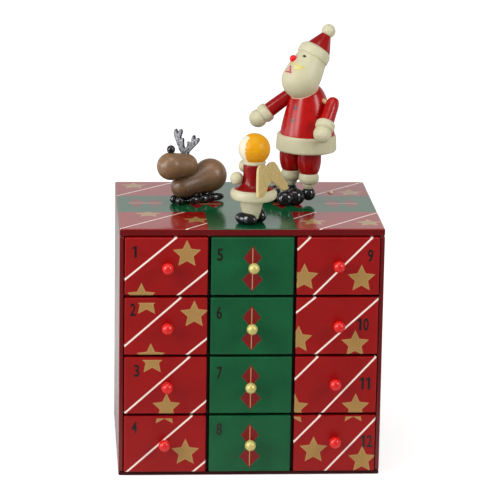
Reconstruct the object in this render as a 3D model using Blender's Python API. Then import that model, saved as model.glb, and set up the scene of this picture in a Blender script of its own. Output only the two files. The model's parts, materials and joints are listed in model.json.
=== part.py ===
"""Wooden advent calendar box: a case with twelve drawers on each of its two faces,
and a turned Santa, an angel and a reindeer pegged to its top.

Metres, +Z up. The origin is the middle of the case's bottom face, +X is to the
right of the front face and the front face looks along -Y."""

import math

import bmesh
import bpy
from mathutils import Matrix, Vector

# Case, outside
CASE_WIDTH = 0.2000
CASE_DEPTH = 0.1610
CASE_HEIGHT = 0.1940
TOP_THICKNESS = 0.0059
BOTTOM_THICKNESS = 0.0033
SIDE_THICKNESS = 0.0036
CASE_EDGE_RADIUS = 0.0012

# Grid that carries the drawers, one behind each face, and the board between them
COLUMNS = 3
ROWS = 4
DIVIDER_THICKNESS = 0.0016
SHELF_THICKNESS = 0.0014
GRID_RECESS = 0.0035
CENTRE_BOARD_THICKNESS = 0.0030

# Drawers
FRONT_THICKNESS = 0.0060
FRONT_PROUD = 0.0028
FRONT_EDGE_RADIUS = 0.0012
SIDE_PLAY = 0.0004
HEIGHT_PLAY = 0.0003
TRAY_SIDE_INSET = 0.0006
TRAY_BOTTOM_INSET = 0.0002
TRAY_TOP_DROP = 0.0060
TRAY_WALL = 0.0020
TRAY_FLOOR = 0.0016
TRAY_BACK_PLAY = 0.0004

# Knobs
KNOB_BALL_RADIUS = 0.0042
KNOB_STEM_RADIUS = 0.0019
KNOB_STANDOFF = 0.0044
KNOB_TENON_RADIUS = 0.0015
KNOB_TENON_LENGTH = 0.0042
# How far each front knob sits to the right of its drawer's middle and above it
KNOB_SHIFTS = {
    1: (0.0008, 0.0002), 2: (0.0010, 0.0), 3: (0.0012, 0.0002), 4: (-0.0006, 0.0010),
    5: (0.0006, 0.0004), 6: (0.0, -0.0003), 7: (-0.0003, 0.0), 8: (0.0, 0.0010),
    9: (0.0, 0.0016), 10: (0.0010, 0.0014), 11: (-0.0008, 0.0022), 12: (0.0, 0.0028),
}

# Clearances
GLUE_GAP = 0.0003
PEG_RADIUS = 0.0015
PEG_LENGTH = 0.0040

# Two open holes in the top panel: place on the top, radius and depth
OPEN_HOLES = ((0.0685, 0.0430, 0.0024, 0.0040), (-0.0344, -0.0486, 0.0013, 0.0030))
# Pegs of the figures
ARM_DOWEL_REACH = 0.0100
ARM_DOWEL_DROP = 0.0120
DEER_PEG = (-0.0303, 0.0151)

FRONT_FACE_Y = -CASE_DEPTH / 2
INNER_WIDTH = CASE_WIDTH - 2 * SIDE_THICKNESS
INNER_HEIGHT = CASE_HEIGHT - TOP_THICKNESS - BOTTOM_THICKNESS
CELL_WIDTH = (INNER_WIDTH - (COLUMNS - 1) * DIVIDER_THICKNESS) / COLUMNS
CELL_HEIGHT = (INNER_HEIGHT - (ROWS - 1) * SHELF_THICKNESS) / ROWS
COLUMN_PITCH = CELL_WIDTH + DIVIDER_THICKNESS
ROW_PITCH = CELL_HEIGHT + SHELF_THICKNESS
FRONT_WIDTH = CELL_WIDTH - 2 * SIDE_PLAY
FRONT_HEIGHT = CELL_HEIGHT - 2 * HEIGHT_PLAY
FRONT_OUTER_Y = FRONT_FACE_Y - FRONT_PROUD
TRAY_END_Y = -CENTRE_BOARD_THICKNESS / 2 - TRAY_BACK_PLAY

RED = (0.33, 0.010, 0.014)
GREEN = (0.012, 0.095, 0.040)
CREAM = (0.62, 0.57, 0.40)
BLACK = (0.008, 0.008, 0.010)
GOLD = (0.60, 0.38, 0.09)
BARE_WOOD = (0.55, 0.38, 0.20)
BROWN = (0.16, 0.075, 0.038)
HAIR = (0.85, 0.38, 0.02)


def clear_scene():
    for thing in list(bpy.data.objects):
        bpy.data.objects.remove(thing, do_unlink=True)


def material(name, colour, roughness=0.35, metallic=0.0):
    made = bpy.data.materials.get(name) or bpy.data.materials.new(name)
    made.use_nodes = True
    shader = made.node_tree.nodes["Principled BSDF"]
    shader.inputs["Base Color"].default_value = (*colour, 1.0)
    shader.inputs["Roughness"].default_value = roughness
    shader.inputs["Metallic"].default_value = metallic
    return made


def add_object(name, mesh, matrix=None, colour=None, roughness=0.35, metallic=0.0):
    thing = bpy.data.objects.new(name, mesh)
    bpy.context.collection.objects.link(thing)
    if matrix is not None:
        thing.matrix_world = matrix
    if colour is not None:
        thing.data.materials.clear()
        thing.data.materials.append(material("paint_" + name, colour, roughness, metallic))
    return thing


def mesh_from_bmesh(name, shape, smooth=False):
    bmesh.ops.recalc_face_normals(shape, faces=shape.faces)
    mesh = bpy.data.meshes.new(name)
    shape.to_mesh(mesh)
    shape.free()
    if smooth:
        mesh.shade_smooth()
        mesh.set_sharp_from_angle(angle=math.radians(40))
    return mesh


def as_cutter(thing):
    thing.hide_render = True
    thing.display_type = "WIRE"
    return thing


def combine(thing, tool, operation):
    change = thing.modifiers.new(operation.lower() + "_" + tool.name, "BOOLEAN")
    change.operation = operation
    change.solver = "EXACT"
    change.object = as_cutter(tool)


def box_shape(low, high):
    shape = bmesh.new()
    bmesh.ops.create_cube(shape, size=1.0)
    low, high = Vector(low), Vector(high)
    for vertex in shape.verts:
        for axis in range(3):
            vertex.co[axis] = high[axis] if vertex.co[axis] > 0 else low[axis]
    return shape


def round_edges(shape, radius, wanted, segments=2):
    chosen = [edge for edge in shape.edges if wanted(edge)]
    bmesh.ops.bevel(shape, geom=chosen, offset=radius, offset_type="OFFSET", segments=segments,
                    profile=0.5, affect="EDGES", clamp_overlap=True)


def edge_runs_along(edge, axis):
    run = edge.verts[0].co - edge.verts[1].co
    return abs(run[axis]) > 1e-6 and all(abs(run[other]) < 1e-6 for other in range(3) if other != axis)


def edge_lies_at(edge, axis, value):
    return all(abs(vertex.co[axis] - value) < 1e-6 for vertex in edge.verts)


def turned_mesh(name, profile, segments=16, grow=0.0):
    """A solid of revolution about Z from (radius, height) points, bottom to top.
    grow swells it all round, for the cutter that leaves a gap."""
    first, last = profile[0][1], profile[-1][1]
    points = []
    for radius, height in profile:
        lift = -grow if height == first else grow if height == last else 0.0
        points.append((radius + grow if radius > 0 else 0.0, height + lift))
    shape = bmesh.new()
    rings = []
    for radius, height in points:
        if radius == 0:
            rings.append([shape.verts.new((0, 0, height))])
            continue
        ring = []
        for step in range(segments):
            angle = 2 * math.pi * step / segments
            ring.append(shape.verts.new((radius * math.cos(angle), radius * math.sin(angle), height)))
        rings.append(ring)
    for lower, upper in zip(rings, rings[1:]):
        for step in range(segments):
            after = (step + 1) % segments
            if len(lower) == 1:
                shape.faces.new((lower[0], upper[after], upper[step]))
            elif len(upper) == 1:
                shape.faces.new((lower[step], lower[after], upper[0]))
            else:
                shape.faces.new((lower[step], lower[after], upper[after], upper[step]))
    for ring in (rings[0], rings[-1]):
        if len(ring) > 1:
            shape.faces.new(ring)
    return mesh_from_bmesh(name, shape, smooth=True)


def ball_profile(radius, steps, centre=0.0, start=0.0, stop=math.pi):
    """Points of a circle from its bottom pole (start 0) to its top pole (stop pi)."""
    points = []
    for step in range(steps + 1):
        angle = start + (stop - start) * step / steps
        across = radius * math.sin(angle)
        points.append((0.0 if across < 1e-7 else across, centre - radius * math.cos(angle)))
    return points


def placed(place, direction=(0, 0, 1)):
    turn = Vector(direction).normalized().to_track_quat("Z", "Y")
    return Matrix.Translation(Vector(place)) @ turn.to_matrix().to_4x4()


def cylinder_cutter(name, place, radius, low, high, direction=(0, 0, 1), segments=12):
    mesh = turned_mesh(name, [(radius, low), (radius, high)], segments)
    return add_object(name, mesh, placed(place, direction))


def column_x(column):
    return (column - (COLUMNS - 1) / 2) * COLUMN_PITCH


def row_z(row):
    """Height of a cell's centre, row 0 at the top."""
    return BOTTOM_THICKNESS + CELL_HEIGHT / 2 + (ROWS - 1 - row) * ROW_PITCH


def build_case(peg_places):
    half_width = CASE_WIDTH / 2
    half_depth = CASE_DEPTH / 2
    top_low = CASE_HEIGHT - TOP_THICKNESS

    top = box_shape((-half_width, -half_depth, top_low), (half_width, half_depth, CASE_HEIGHT))
    round_edges(top, CASE_EDGE_RADIUS, lambda edge: edge_runs_along(edge, 2)
                or edge_lies_at(edge, 2, CASE_HEIGHT))
    top = add_object("top_panel", mesh_from_bmesh("top_panel", top), colour=RED, roughness=0.2)
    for number, (x, y) in enumerate(peg_places):
        hole = cylinder_cutter(f"peg_hole_{number}", (x, y, CASE_HEIGHT), PEG_RADIUS + GLUE_GAP,
                               -PEG_LENGTH - GLUE_GAP, 0.001)
        combine(top, hole, "DIFFERENCE")
    for number, (x, y, radius, depth) in enumerate(OPEN_HOLES):
        hole = cylinder_cutter(f"open_hole_{number}", (x, y, CASE_HEIGHT), radius, -depth, 0.001)
        combine(top, hole, "DIFFERENCE")

    bottom = box_shape((-half_width, -half_depth, 0), (half_width, half_depth, BOTTOM_THICKNESS))
    round_edges(bottom, CASE_EDGE_RADIUS, lambda edge: edge_runs_along(edge, 2)
                or edge_lies_at(edge, 2, 0))
    add_object("bottom_panel", mesh_from_bmesh("bottom_panel", bottom), colour=RED)

    for name, side in (("left_side_panel", -1), ("right_side_panel", 1)):
        outer = side * half_width
        inner = outer - side * SIDE_THICKNESS
        panel = box_shape((min(outer, inner), -half_depth, BOTTOM_THICKNESS + GLUE_GAP),
                          (max(outer, inner), half_depth, top_low - GLUE_GAP))
        round_edges(panel, CASE_EDGE_RADIUS, lambda edge: edge_runs_along(edge, 2)
                    and edge_lies_at(edge, 0, outer))
        add_object(name, mesh_from_bmesh(name, panel), colour=RED, roughness=0.25)

    grid_half_width = INNER_WIDTH / 2 - GLUE_GAP
    grid_low = BOTTOM_THICKNESS + GLUE_GAP
    grid_high = top_low - GLUE_GAP
    board_y = CENTRE_BOARD_THICKNESS / 2
    board = box_shape((-grid_half_width, -board_y, grid_low), (grid_half_width, board_y, grid_high))
    add_object("centre_board", mesh_from_bmesh("centre_board", board), colour=BARE_WOOD)

    for name, side in (("front_grid", -1), ("back_grid", 1)):
        near = side * (half_depth - GRID_RECESS)
        far = side * (board_y + GLUE_GAP)
        low_y, high_y = min(near, far), max(near, far)
        grid = grid_mesh(name, grid_half_width, grid_low, grid_high, low_y, high_y)
        add_object(name, grid, colour=BARE_WOOD)


def grid_mesh(name, half_width, low, high, low_y, high_y):
    """Dividers and shelves of one face as a crossed grid: the outline of each bar is
    drawn once in the X-Z plane and carried from low_y to high_y."""
    xs = [-half_width]
    for column in range(COLUMNS - 1):
        middle = (column_x(column) + column_x(column + 1)) / 2
        xs += [middle - DIVIDER_THICKNESS / 2, middle + DIVIDER_THICKNESS / 2]
    xs.append(half_width)
    zs = [low]
    for row in range(ROWS - 1, 0, -1):
        middle = (row_z(row) + row_z(row - 1)) / 2
        zs += [middle - SHELF_THICKNESS / 2, middle + SHELF_THICKNESS / 2]
    zs.append(high)
    shape = bmesh.new()
    corners = {}
    for i, x in enumerate(xs):
        for k, z in enumerate(zs):
            corners[i, k] = (shape.verts.new((x, low_y, z)), shape.verts.new((x, high_y, z)))

    def solid(i, k):
        inside = 0 <= i < len(xs) - 1 and 0 <= k < len(zs) - 1
        return inside and (i % 2 == 1 or k % 2 == 1)

    for i in range(len(xs) - 1):
        for k in range(len(zs) - 1):
            if not solid(i, k):
                continue
            ring = [corners[i, k], corners[i + 1, k], corners[i + 1, k + 1], corners[i, k + 1]]
            shape.faces.new([pair[0] for pair in ring])
            shape.faces.new([pair[1] for pair in reversed(ring)])
            neighbours = (solid(i, k - 1), solid(i + 1, k), solid(i, k + 1), solid(i - 1, k))
            for side, joined in enumerate(neighbours):
                if not joined:
                    start, end = ring[side], ring[(side + 1) % 4]
                    shape.faces.new((start[0], start[1], end[1], end[0]))
    loose = [vertex for vertex in shape.verts if not vertex.link_faces]
    bmesh.ops.delete(shape, geom=loose, context="VERTS")
    return mesh_from_bmesh(name, shape)


def evaluated_mesh(thing):
    """The mesh that an object's modifiers give, as a mesh of its own."""
    bpy.context.view_layer.update()
    graph = bpy.context.evaluated_depsgraph_get()
    return bpy.data.meshes.new_from_object(thing.evaluated_get(graph))


def remove_objects(things):
    for thing in things:
        bpy.data.objects.remove(thing, do_unlink=True)


def drawer_mesh(with_knob, knob_shift=(0.0, 0.0)):
    """A drawer about its own origin, the middle of its front face: a front board that
    runs back along +Y and a hollowed tray behind it. It has either the hole for a
    separate knob, shifted from the middle, or the knob itself."""
    half_width = FRONT_WIDTH / 2
    half_height = FRONT_HEIGHT / 2
    board = box_shape((-half_width, 0, -half_height), (half_width, FRONT_THICKNESS, half_height))
    round_edges(board, FRONT_EDGE_RADIUS, lambda edge: edge_runs_along(edge, 1)
                or edge_lies_at(edge, 1, 0), segments=1)
    drawer = add_object("drawer_board", mesh_from_bmesh("drawer_board", board))

    tray_half_width = half_width - TRAY_SIDE_INSET
    tray_low = -half_height + TRAY_BOTTOM_INSET
    tray_high = half_height - TRAY_TOP_DROP
    tray_end = TRAY_END_Y - FRONT_OUTER_Y
    tray = box_shape((-tray_half_width, FRONT_THICKNESS / 2, tray_low),
                     (tray_half_width, tray_end, tray_high))
    hollow = box_shape((-tray_half_width + TRAY_WALL, FRONT_THICKNESS + TRAY_WALL,
                        tray_low + TRAY_FLOOR),
                       (tray_half_width - TRAY_WALL, tray_end - TRAY_WALL, half_height))
    tools = [add_object("tray", mesh_from_bmesh("tray", tray)),
             add_object("hollow", mesh_from_bmesh("hollow", hollow))]
    combine(drawer, tools[0], "UNION")
    combine(drawer, tools[1], "DIFFERENCE")
    if with_knob:
        tools.append(add_object("knob", knob_mesh("knob"), placed((0, 0, 0), (0, -1, 0))))
        combine(drawer, tools[2], "UNION")
    else:
        hole = (knob_shift[0], 0, knob_shift[1])
        tools.append(cylinder_cutter("knob_hole", hole, KNOB_TENON_RADIUS + GLUE_GAP,
                                     -KNOB_TENON_LENGTH - GLUE_GAP, 0.001, (0, -1, 0), 10))
        combine(drawer, tools[2], "DIFFERENCE")
    mesh = evaluated_mesh(drawer)
    remove_objects([drawer] + tools)
    return mesh


def knob_mesh(name):
    """A knob along +Z about the middle of a drawer's face: tenon, stem and ball."""
    ball_centre = KNOB_STANDOFF + KNOB_BALL_RADIUS * 0.75
    meet = math.asin(KNOB_STEM_RADIUS / KNOB_BALL_RADIUS)
    profile = [(KNOB_TENON_RADIUS, -KNOB_TENON_LENGTH), (KNOB_TENON_RADIUS, GLUE_GAP),
               (KNOB_STEM_RADIUS, GLUE_GAP)]
    profile += ball_profile(KNOB_BALL_RADIUS, 5, ball_centre, start=meet)
    return turned_mesh(name, profile, 10)


def build_drawers():
    back_drawer = drawer_mesh(with_knob=True)
    about_turn = Matrix.Rotation(math.pi, 4, "Z")
    for column in range(COLUMNS):
        for row in range(ROWS):
            number = column * ROWS + row + 1
            middle_column = column == COLUMNS // 2
            paint = GREEN if middle_column else RED
            place = Matrix.Translation((column_x(column), FRONT_OUTER_Y, row_z(row)))
            shift = KNOB_SHIFTS[number]
            add_object(f"drawer_{number:02d}", drawer_mesh(False, shift), place, paint, 0.3)
            knob_place = place.translation + Vector((shift[0], 0, shift[1]))
            knob_turn = placed(knob_place, (0, -1, 0))
            if middle_column:
                knob_finish = (GOLD, 0.3, 0.8)
            else:
                knob_finish = (RED, 0.2, 0.0)
            name = f"knob_{number:02d}"
            add_object(name, knob_mesh(name), knob_turn, *knob_finish)
            add_object(f"drawer_{number + COLUMNS * ROWS:02d}", back_drawer.copy(),
                       about_turn @ place, paint, 0.3)


# Santa: places across the top panel and heights above it, sizes of his turned pieces
BAND_PLACE = (0.0472, 0.0127, 0.0475)
BAND_LEAN = (0.020, 0.0, 1.0)
BAND_RADIUS = 0.0234
BAND_HEIGHT = 0.0130
BAND_EDGE = 0.0012
TORSO_PLACE = (0.0479, 0.0127, 0.0448)
TORSO_RADIUS = 0.0211
TORSO_HEIGHT = 0.0490
HEAD_PLACE = (0.0414, 0.0084, 0.0971)
HEAD_AXIS = (0.500, 0.308, 0.809)
FACE_DIRECTION = (-0.770, -0.264, 0.581)
HEAD_RADIUS = 0.0148
NOSE_RISE = 0.0106
NOSE_REACH = 0.0150
NOSE_RADIUS = 0.0027
RIGHT_SHOULDER = (0.0355, 0.0187, 0.0844)
RIGHT_HAND = (0.0097, 0.0187, 0.0646)
LEFT_SHOULDER = (0.0657, -0.0005, 0.0799)
LEFT_HAND = (0.0571, -0.0140, 0.0590)
HAND_RADIUS = 0.0071
SLEEVE_RADIUS = 0.0056
CUFF_RADIUS = 0.0068
RIGHT_LEG = (0.0362, 0.0184)
LEFT_LEG = (0.0490, 0.0046)
LEG_RADIUS = 0.0092
LEG_INTO_BAND = 0.0028
LEG_HEIGHT = BAND_PLACE[2] - BAND_HEIGHT / 2 + LEG_INTO_BAND
BOOT_AXIS = (-0.930, -0.368, 0.0)
BOOT_FORWARD = 0.0110
HEEL_RADIUS = 0.0055
HEEL_RISE = 0.0078
TOE_RADIUS = 0.0066
TOE_STRETCH = 1.68
TOE_SINK = 0.0008
TOE_FORWARD = 0.0152


def on_top(place):
    """A place given as x, y and height above the top panel, in the object's frame."""
    return Vector((place[0], place[1], CASE_HEIGHT + place[2]))


def along(place, direction, distance):
    return Vector(place) + Vector(direction).normalized() * distance


def sized(shape, radius, height):
    """A profile or outline given as shares of a radius and of a height."""
    return [(across * radius, up * height) for across, up in shape]


def head_profile():
    """Egg: a ball at the chin that narrows to the hat's brim."""
    ball = ball_profile(HEAD_RADIUS, 7, stop=math.radians(100))
    crown = [(0.953, 0.473), (0.885, 0.845), (0.804, 1.216), (0.709, 1.588)]
    return ball + sized(crown, HEAD_RADIUS, HEAD_RADIUS)


def hat_profile():
    """Brim, cone and pompom, measured from the middle of the head's ball."""
    brim = [(0.757, 1.372), (0.838, 1.419), (0.865, 1.622), (0.797, 1.858), (0.642, 1.946)]
    pompom_radius = 0.365 * HEAD_RADIUS
    cone_top = 0.230 * HEAD_RADIUS
    meet = math.asin(cone_top / pompom_radius)
    pompom = ball_profile(pompom_radius, 6, 3.007 * HEAD_RADIUS, start=meet)
    return sized(brim, HEAD_RADIUS, HEAD_RADIUS) + pompom


def torso_profile():
    shape = [(0.850, 0.0), (1.0, 0.133), (0.976, 0.276), (0.879, 0.469), (0.762, 0.653),
             (0.670, 0.776), (0.534, 0.888), (0.330, 0.969), (0.146, 1.0)]
    return sized(shape, TORSO_RADIUS, TORSO_HEIGHT)


def arm_profile(length):
    """Hand ball at the origin, then the cuff, the sleeve and a round shoulder."""
    hand = ball_profile(HAND_RADIUS, 5, stop=math.radians(130))
    shoulder = ball_profile(SLEEVE_RADIUS, 3, length, start=math.pi / 2)
    cuff = sized([(1.0, 0.704), (1.118, 1.099), (1.0, 1.521)], CUFF_RADIUS, HAND_RADIUS)
    return hand + cuff + [(SLEEVE_RADIUS, 1.577 * HAND_RADIUS)] + shoulder


def leg_profile():
    """Ankle, cuff and trouser, as heights above the top panel."""
    shape = [(0.522, 0.210), (0.543, 0.348), (0.793, 0.382), (0.826, 0.460), (0.739, 0.538),
             (0.891, 0.554), (1.0, 0.724), (0.957, 1.0)]
    return sized(shape, LEG_RADIUS, LEG_HEIGHT)


def peg(name, x, y, rise):
    """Peg under a figure, which runs from inside the figure into the top panel."""
    return cylinder_cutter(name, (x, y, CASE_HEIGHT), PEG_RADIUS, -PEG_LENGTH, rise)


def stand_on_top(thing, x, y, peg_rise=0.0030):
    """Cut a figure's foot level with the top panel and give it its peg."""
    reach = CASE_WIDTH / 4
    slab = box_shape((x - reach, y - reach, CASE_HEIGHT - reach),
                     (x + reach, y + reach, CASE_HEIGHT + GLUE_GAP))
    floor = add_object(thing.name + "_floor", mesh_from_bmesh(thing.name + "_floor", slab))
    combine(thing, floor, "DIFFERENCE")
    combine(thing, peg(thing.name + "_peg", x, y, peg_rise), "UNION")


def boot_middle(leg):
    return on_top((leg[0], leg[1], 0.0)) + Vector(BOOT_AXIS).normalized() * BOOT_FORWARD


def boot_parts(name, leg, grow=0.0):
    """Round heel under the leg and long egg of a toe before it, as two objects."""
    heel = on_top((leg[0], leg[1], HEEL_RISE))
    toe = along(on_top((leg[0], leg[1], TOE_RADIUS - TOE_SINK)), BOOT_AXIS, TOE_FORWARD)
    toe_profile = sized(ball_profile(TOE_RADIUS, 9), 1.0, TOE_STRETCH)
    return [add_object(name, turned_mesh(name, toe_profile, 12, grow), placed(toe, BOOT_AXIS), BLACK,
                       0.1),
            add_object(name + "_heel", turned_mesh(name + "_heel", ball_profile(HEEL_RADIUS, 6), 12, grow),
                       placed(heel))]


def build_santa():
    half_band = BAND_HEIGHT / 2
    band_mesh = [(BAND_RADIUS - BAND_EDGE, -half_band), (BAND_RADIUS, BAND_EDGE - half_band),
                 (BAND_RADIUS - 0.6 * BAND_EDGE, half_band - BAND_EDGE),
                 (BAND_RADIUS - 1.8 * BAND_EDGE, half_band)]
    band_place = placed(on_top(BAND_PLACE), BAND_LEAN)
    torso_place = placed(on_top(TORSO_PLACE))
    head_place = placed(on_top(HEAD_PLACE), HEAD_AXIS)
    add_object("santa_coat_band", turned_mesh("santa_coat_band", band_mesh, 20), band_place, CREAM)
    band_cutter = add_object("band_room", turned_mesh("band_room", band_mesh, 20, GLUE_GAP), band_place)

    head = add_object("santa_head", turned_mesh("santa_head", head_profile(), 16), head_place, CREAM)
    nose_place = along(along(on_top(HEAD_PLACE), HEAD_AXIS, NOSE_RISE), FACE_DIRECTION, NOSE_REACH)
    nose = add_object("nose", turned_mesh("nose", ball_profile(NOSE_RADIUS, 5), 8), placed(nose_place))
    combine(head, nose, "UNION")
    head_cutter = add_object("head_room", turned_mesh("head_room", head_profile(), 16, GLUE_GAP),
                             head_place)
    hat = add_object("santa_hat", turned_mesh("santa_hat", hat_profile(), 16), head_place, RED)
    combine(hat, head_cutter, "DIFFERENCE")

    torso = add_object("santa_torso", turned_mesh("santa_torso", torso_profile(), 18), torso_place, RED)
    combine(torso, band_cutter, "DIFFERENCE")
    combine(torso, head_cutter, "DIFFERENCE")
    torso_cutter = add_object("torso_room", turned_mesh("torso_room", torso_profile(), 18, GLUE_GAP),
                              torso_place)

    for name, shoulder_place, hand_place in (("santa_right_arm", RIGHT_SHOULDER, RIGHT_HAND),
                                             ("santa_left_arm", LEFT_SHOULDER, LEFT_HAND)):
        shoulder = on_top(shoulder_place)
        hand = on_top(hand_place)
        reach = shoulder - hand
        mesh = turned_mesh(name, arm_profile(reach.length), 12)
        arm = add_object(name, mesh, placed(hand, reach), RED)
        combine(arm, torso_cutter, "DIFFERENCE")
        across = Vector((*TORSO_PLACE[:2], shoulder.z - ARM_DOWEL_DROP)) - shoulder
        dowel = cylinder_cutter(name + "_dowel", shoulder, PEG_RADIUS, 0.0, ARM_DOWEL_REACH, across)
        combine(arm, dowel, "UNION")
        combine(arm, head_cutter, "DIFFERENCE")
        socket = cylinder_cutter(name + "_socket", shoulder, PEG_RADIUS + GLUE_GAP, 0.0,
                                 ARM_DOWEL_REACH + GLUE_GAP, across)
        combine(torso, socket, "DIFFERENCE")

    for name, place in (("right", RIGHT_LEG), ("left", LEFT_LEG)):
        boot, heel = boot_parts(f"santa_{name}_boot", place)
        combine(boot, heel, "UNION")
        stand_on_top(boot, *boot_middle(place).xy)
        boot_cutters = boot_parts(f"{name}_boot_room", place, GLUE_GAP)
        leg = add_object(f"santa_{name}_leg", turned_mesh(f"santa_{name}_leg", leg_profile(), 14),
                         placed((place[0], place[1], CASE_HEIGHT)), RED)
        for boot_cutter in boot_cutters:
            combine(leg, boot_cutter, "DIFFERENCE")
        combine(leg, band_cutter, "DIFFERENCE")


# Angel: her axis, the direction her back looks, and how far each hand is before the axis,
# to the near side of it and above the top panel
ANGEL_X = 0.0015
ANGEL_BEHIND_FRONT = 0.0195
ANGEL_PLACE = (ANGEL_X, FRONT_FACE_Y + ANGEL_BEHIND_FRONT)
ANGEL_BACK = Vector((0.737, -0.676, 0.0)).normalized()
ANGEL_COLLAR_HEIGHT = 0.0495
ANGEL_SKIRT_RADIUS = 0.0176
ANGEL_HEAD_RADIUS = 0.0120
ANGEL_HEAD_SINK = 0.0042
ANGEL_HEAD_HEIGHT = ANGEL_COLLAR_HEIGHT + ANGEL_HEAD_RADIUS - ANGEL_HEAD_SINK
WING_SPAN = 0.0203
WING_THICKNESS = 0.0024
WING_OFFSET = 0.0117
WING_SWEEPS = (math.radians(1.5), math.radians(-8.5))
WING_HEIGHT = 0.909 * ANGEL_COLLAR_HEIGHT
WING_LEAN = math.radians(19)
WING_SHIFT = 0.0022
ANGEL_HAND_RADIUS = 0.0048
ANGEL_HANDS = ((0.0085, 0.0092, 0.711 * ANGEL_COLLAR_HEIGHT),
               (0.0100, -0.0016, 0.859 * ANGEL_COLLAR_HEIGHT))
ANGEL_SHOE_RADIUS = 0.0070
ANGEL_SHOE_RISE = 0.0052
ANGEL_SHOE_FORWARD = 0.0015
ANGEL_SHOE_SPREAD = 0.0056


def angel_profile():
    """Legs, skirt, body and collar as heights above the top panel."""
    shape = [(0.352, 0.121), (0.511, 0.323), (0.534, 0.354), (0.852, 0.374), (1.0, 0.434),
             (0.977, 0.505), (0.795, 0.562), (0.568, 0.602), (0.483, 0.707), (0.466, 0.879),
             (0.455, 0.919), (0.494, 0.949), (0.455, 1.0)]
    return sized(shape, ANGEL_SKIRT_RADIUS, ANGEL_COLLAR_HEIGHT)


def wing_outline():
    """One wing in its own plane, across and up, from the top of the fold between the
    wings round to the fold's bottom."""
    shape = [(0.0, 0.0), (0.096, 0.074), (0.227, 0.118), (0.369, 0.123), (0.502, 0.069),
             (0.591, -0.042), (0.700, -0.271), (0.808, -0.517), (0.897, -0.739), (0.956, -0.916),
             (0.956, -1.0), (0.867, -1.044), (0.700, -1.044), (0.571, -0.995), (0.443, -0.882),
             (0.310, -0.754), (0.187, -0.655), (0.0, -0.557)]
    return sized(shape, WING_SPAN, WING_SPAN)


def wings_mesh(name, side):
    """Both wings about the top of their fold: the outline goes to each side, leaning in
    at the top, once for the near face and once for the far one, and walls join the two."""
    outline = wing_outline()
    rise = Vector((0, 0, math.cos(WING_LEAN))) - ANGEL_BACK * math.sin(WING_LEAN)
    shape = bmesh.new()
    layers = []
    for offset in (-WING_THICKNESS, 0.0):
        shift = (ANGEL_BACK * math.cos(WING_LEAN) + Vector((0, 0, math.sin(WING_LEAN)))) * offset
        fold = [shape.verts.new(shift + rise * outline[end][1]) for end in (0, -1)]
        wings = []
        for sign, sweep in zip((1, -1), WING_SWEEPS):
            across = side * sign * math.cos(sweep) + ANGEL_BACK * math.sin(sweep)
            rim = [shape.verts.new(shift + across * out + rise * up) for out, up in outline[1:-1]]
            wings.append([fold[0], *rim, fold[1]])
        layers.append(wings)
    for near, far in zip(*layers):
        shape.faces.new(near)
        shape.faces.new(far)
        for step in range(len(near) - 1):
            shape.faces.new((near[step], near[step + 1], far[step + 1], far[step]))
    return mesh_from_bmesh(name, shape)


def plate_mesh(name, outline, thickness):
    """A flat plate in the X-Z plane, thickness along Y, from an outline."""
    shape = bmesh.new()
    near = [shape.verts.new((x, -thickness / 2, z)) for x, z in outline]
    face = shape.faces.new(near)
    pushed = bmesh.ops.extrude_face_region(shape, geom=[face])
    moved = [item for item in pushed["geom"] if isinstance(item, bmesh.types.BMVert)]
    bmesh.ops.translate(shape, verts=moved, vec=(0, thickness, 0))
    return mesh_from_bmesh(name, shape)


def build_angel():
    x, y = ANGEL_PLACE
    body = add_object("angel_body", turned_mesh("angel_body", angel_profile(), 18),
                      placed((x, y, CASE_HEIGHT)), RED)
    head_place = (x, y, CASE_HEIGHT + ANGEL_HEAD_HEIGHT)
    add_object("angel_head", turned_mesh("angel_head", ball_profile(ANGEL_HEAD_RADIUS, 9), 16),
               placed(head_place), HAIR)
    head_cutter = add_object("angel_head_room", turned_mesh("angel_head_room", ball_profile(
        ANGEL_HEAD_RADIUS, 9), 16, GLUE_GAP), placed(head_place))
    combine(body, head_cutter, "DIFFERENCE")

    front = -ANGEL_BACK
    side = Vector((-front.y, front.x, 0.0))
    for number, (forward, aside, height) in enumerate(ANGEL_HANDS):
        hand_place = on_top((x, y, height)) + front * forward + side * aside
        hand = add_object(f"angel_hand_{number}", turned_mesh("hand", ball_profile(ANGEL_HAND_RADIUS, 5),
                                                              10), placed(hand_place))
        combine(body, hand, "UNION")

    root = on_top((x, y, WING_HEIGHT)) + ANGEL_BACK * WING_OFFSET - side * WING_SHIFT
    wings = add_object("angel_wings", wings_mesh("angel_wings", side), Matrix.Translation(root),
                       BARE_WOOD)

    shoes = None
    for number, sign in enumerate((1, -1)):
        shoe_place = (on_top((x, y, ANGEL_SHOE_RISE)) + front * ANGEL_SHOE_FORWARD
                      + side * sign * ANGEL_SHOE_SPREAD)
        mesh = turned_mesh("shoe", sized(ball_profile(ANGEL_SHOE_RADIUS, 6), 0.92, 1.35), 12)
        shoe = add_object(f"angel_shoe_{number}", mesh, placed(shoe_place, front))
        if shoes is None:
            shoes = shoe
            shoes.name = "angel_shoes"
            shoes.data.materials.append(material("paint_angel_shoes", BLACK, 0.1))
        else:
            combine(shoes, shoe, "UNION")
    body_cutter = add_object("angel_body_room", turned_mesh("angel_body_room", angel_profile(), 18,
                                                            GLUE_GAP), placed((x, y, CASE_HEIGHT)))
    combine(shoes, body_cutter, "DIFFERENCE")
    combine(wings, body_cutter, "DIFFERENCE")
    stand_on_top(shoes, x, y, ANGEL_SHOE_RISE)


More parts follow.
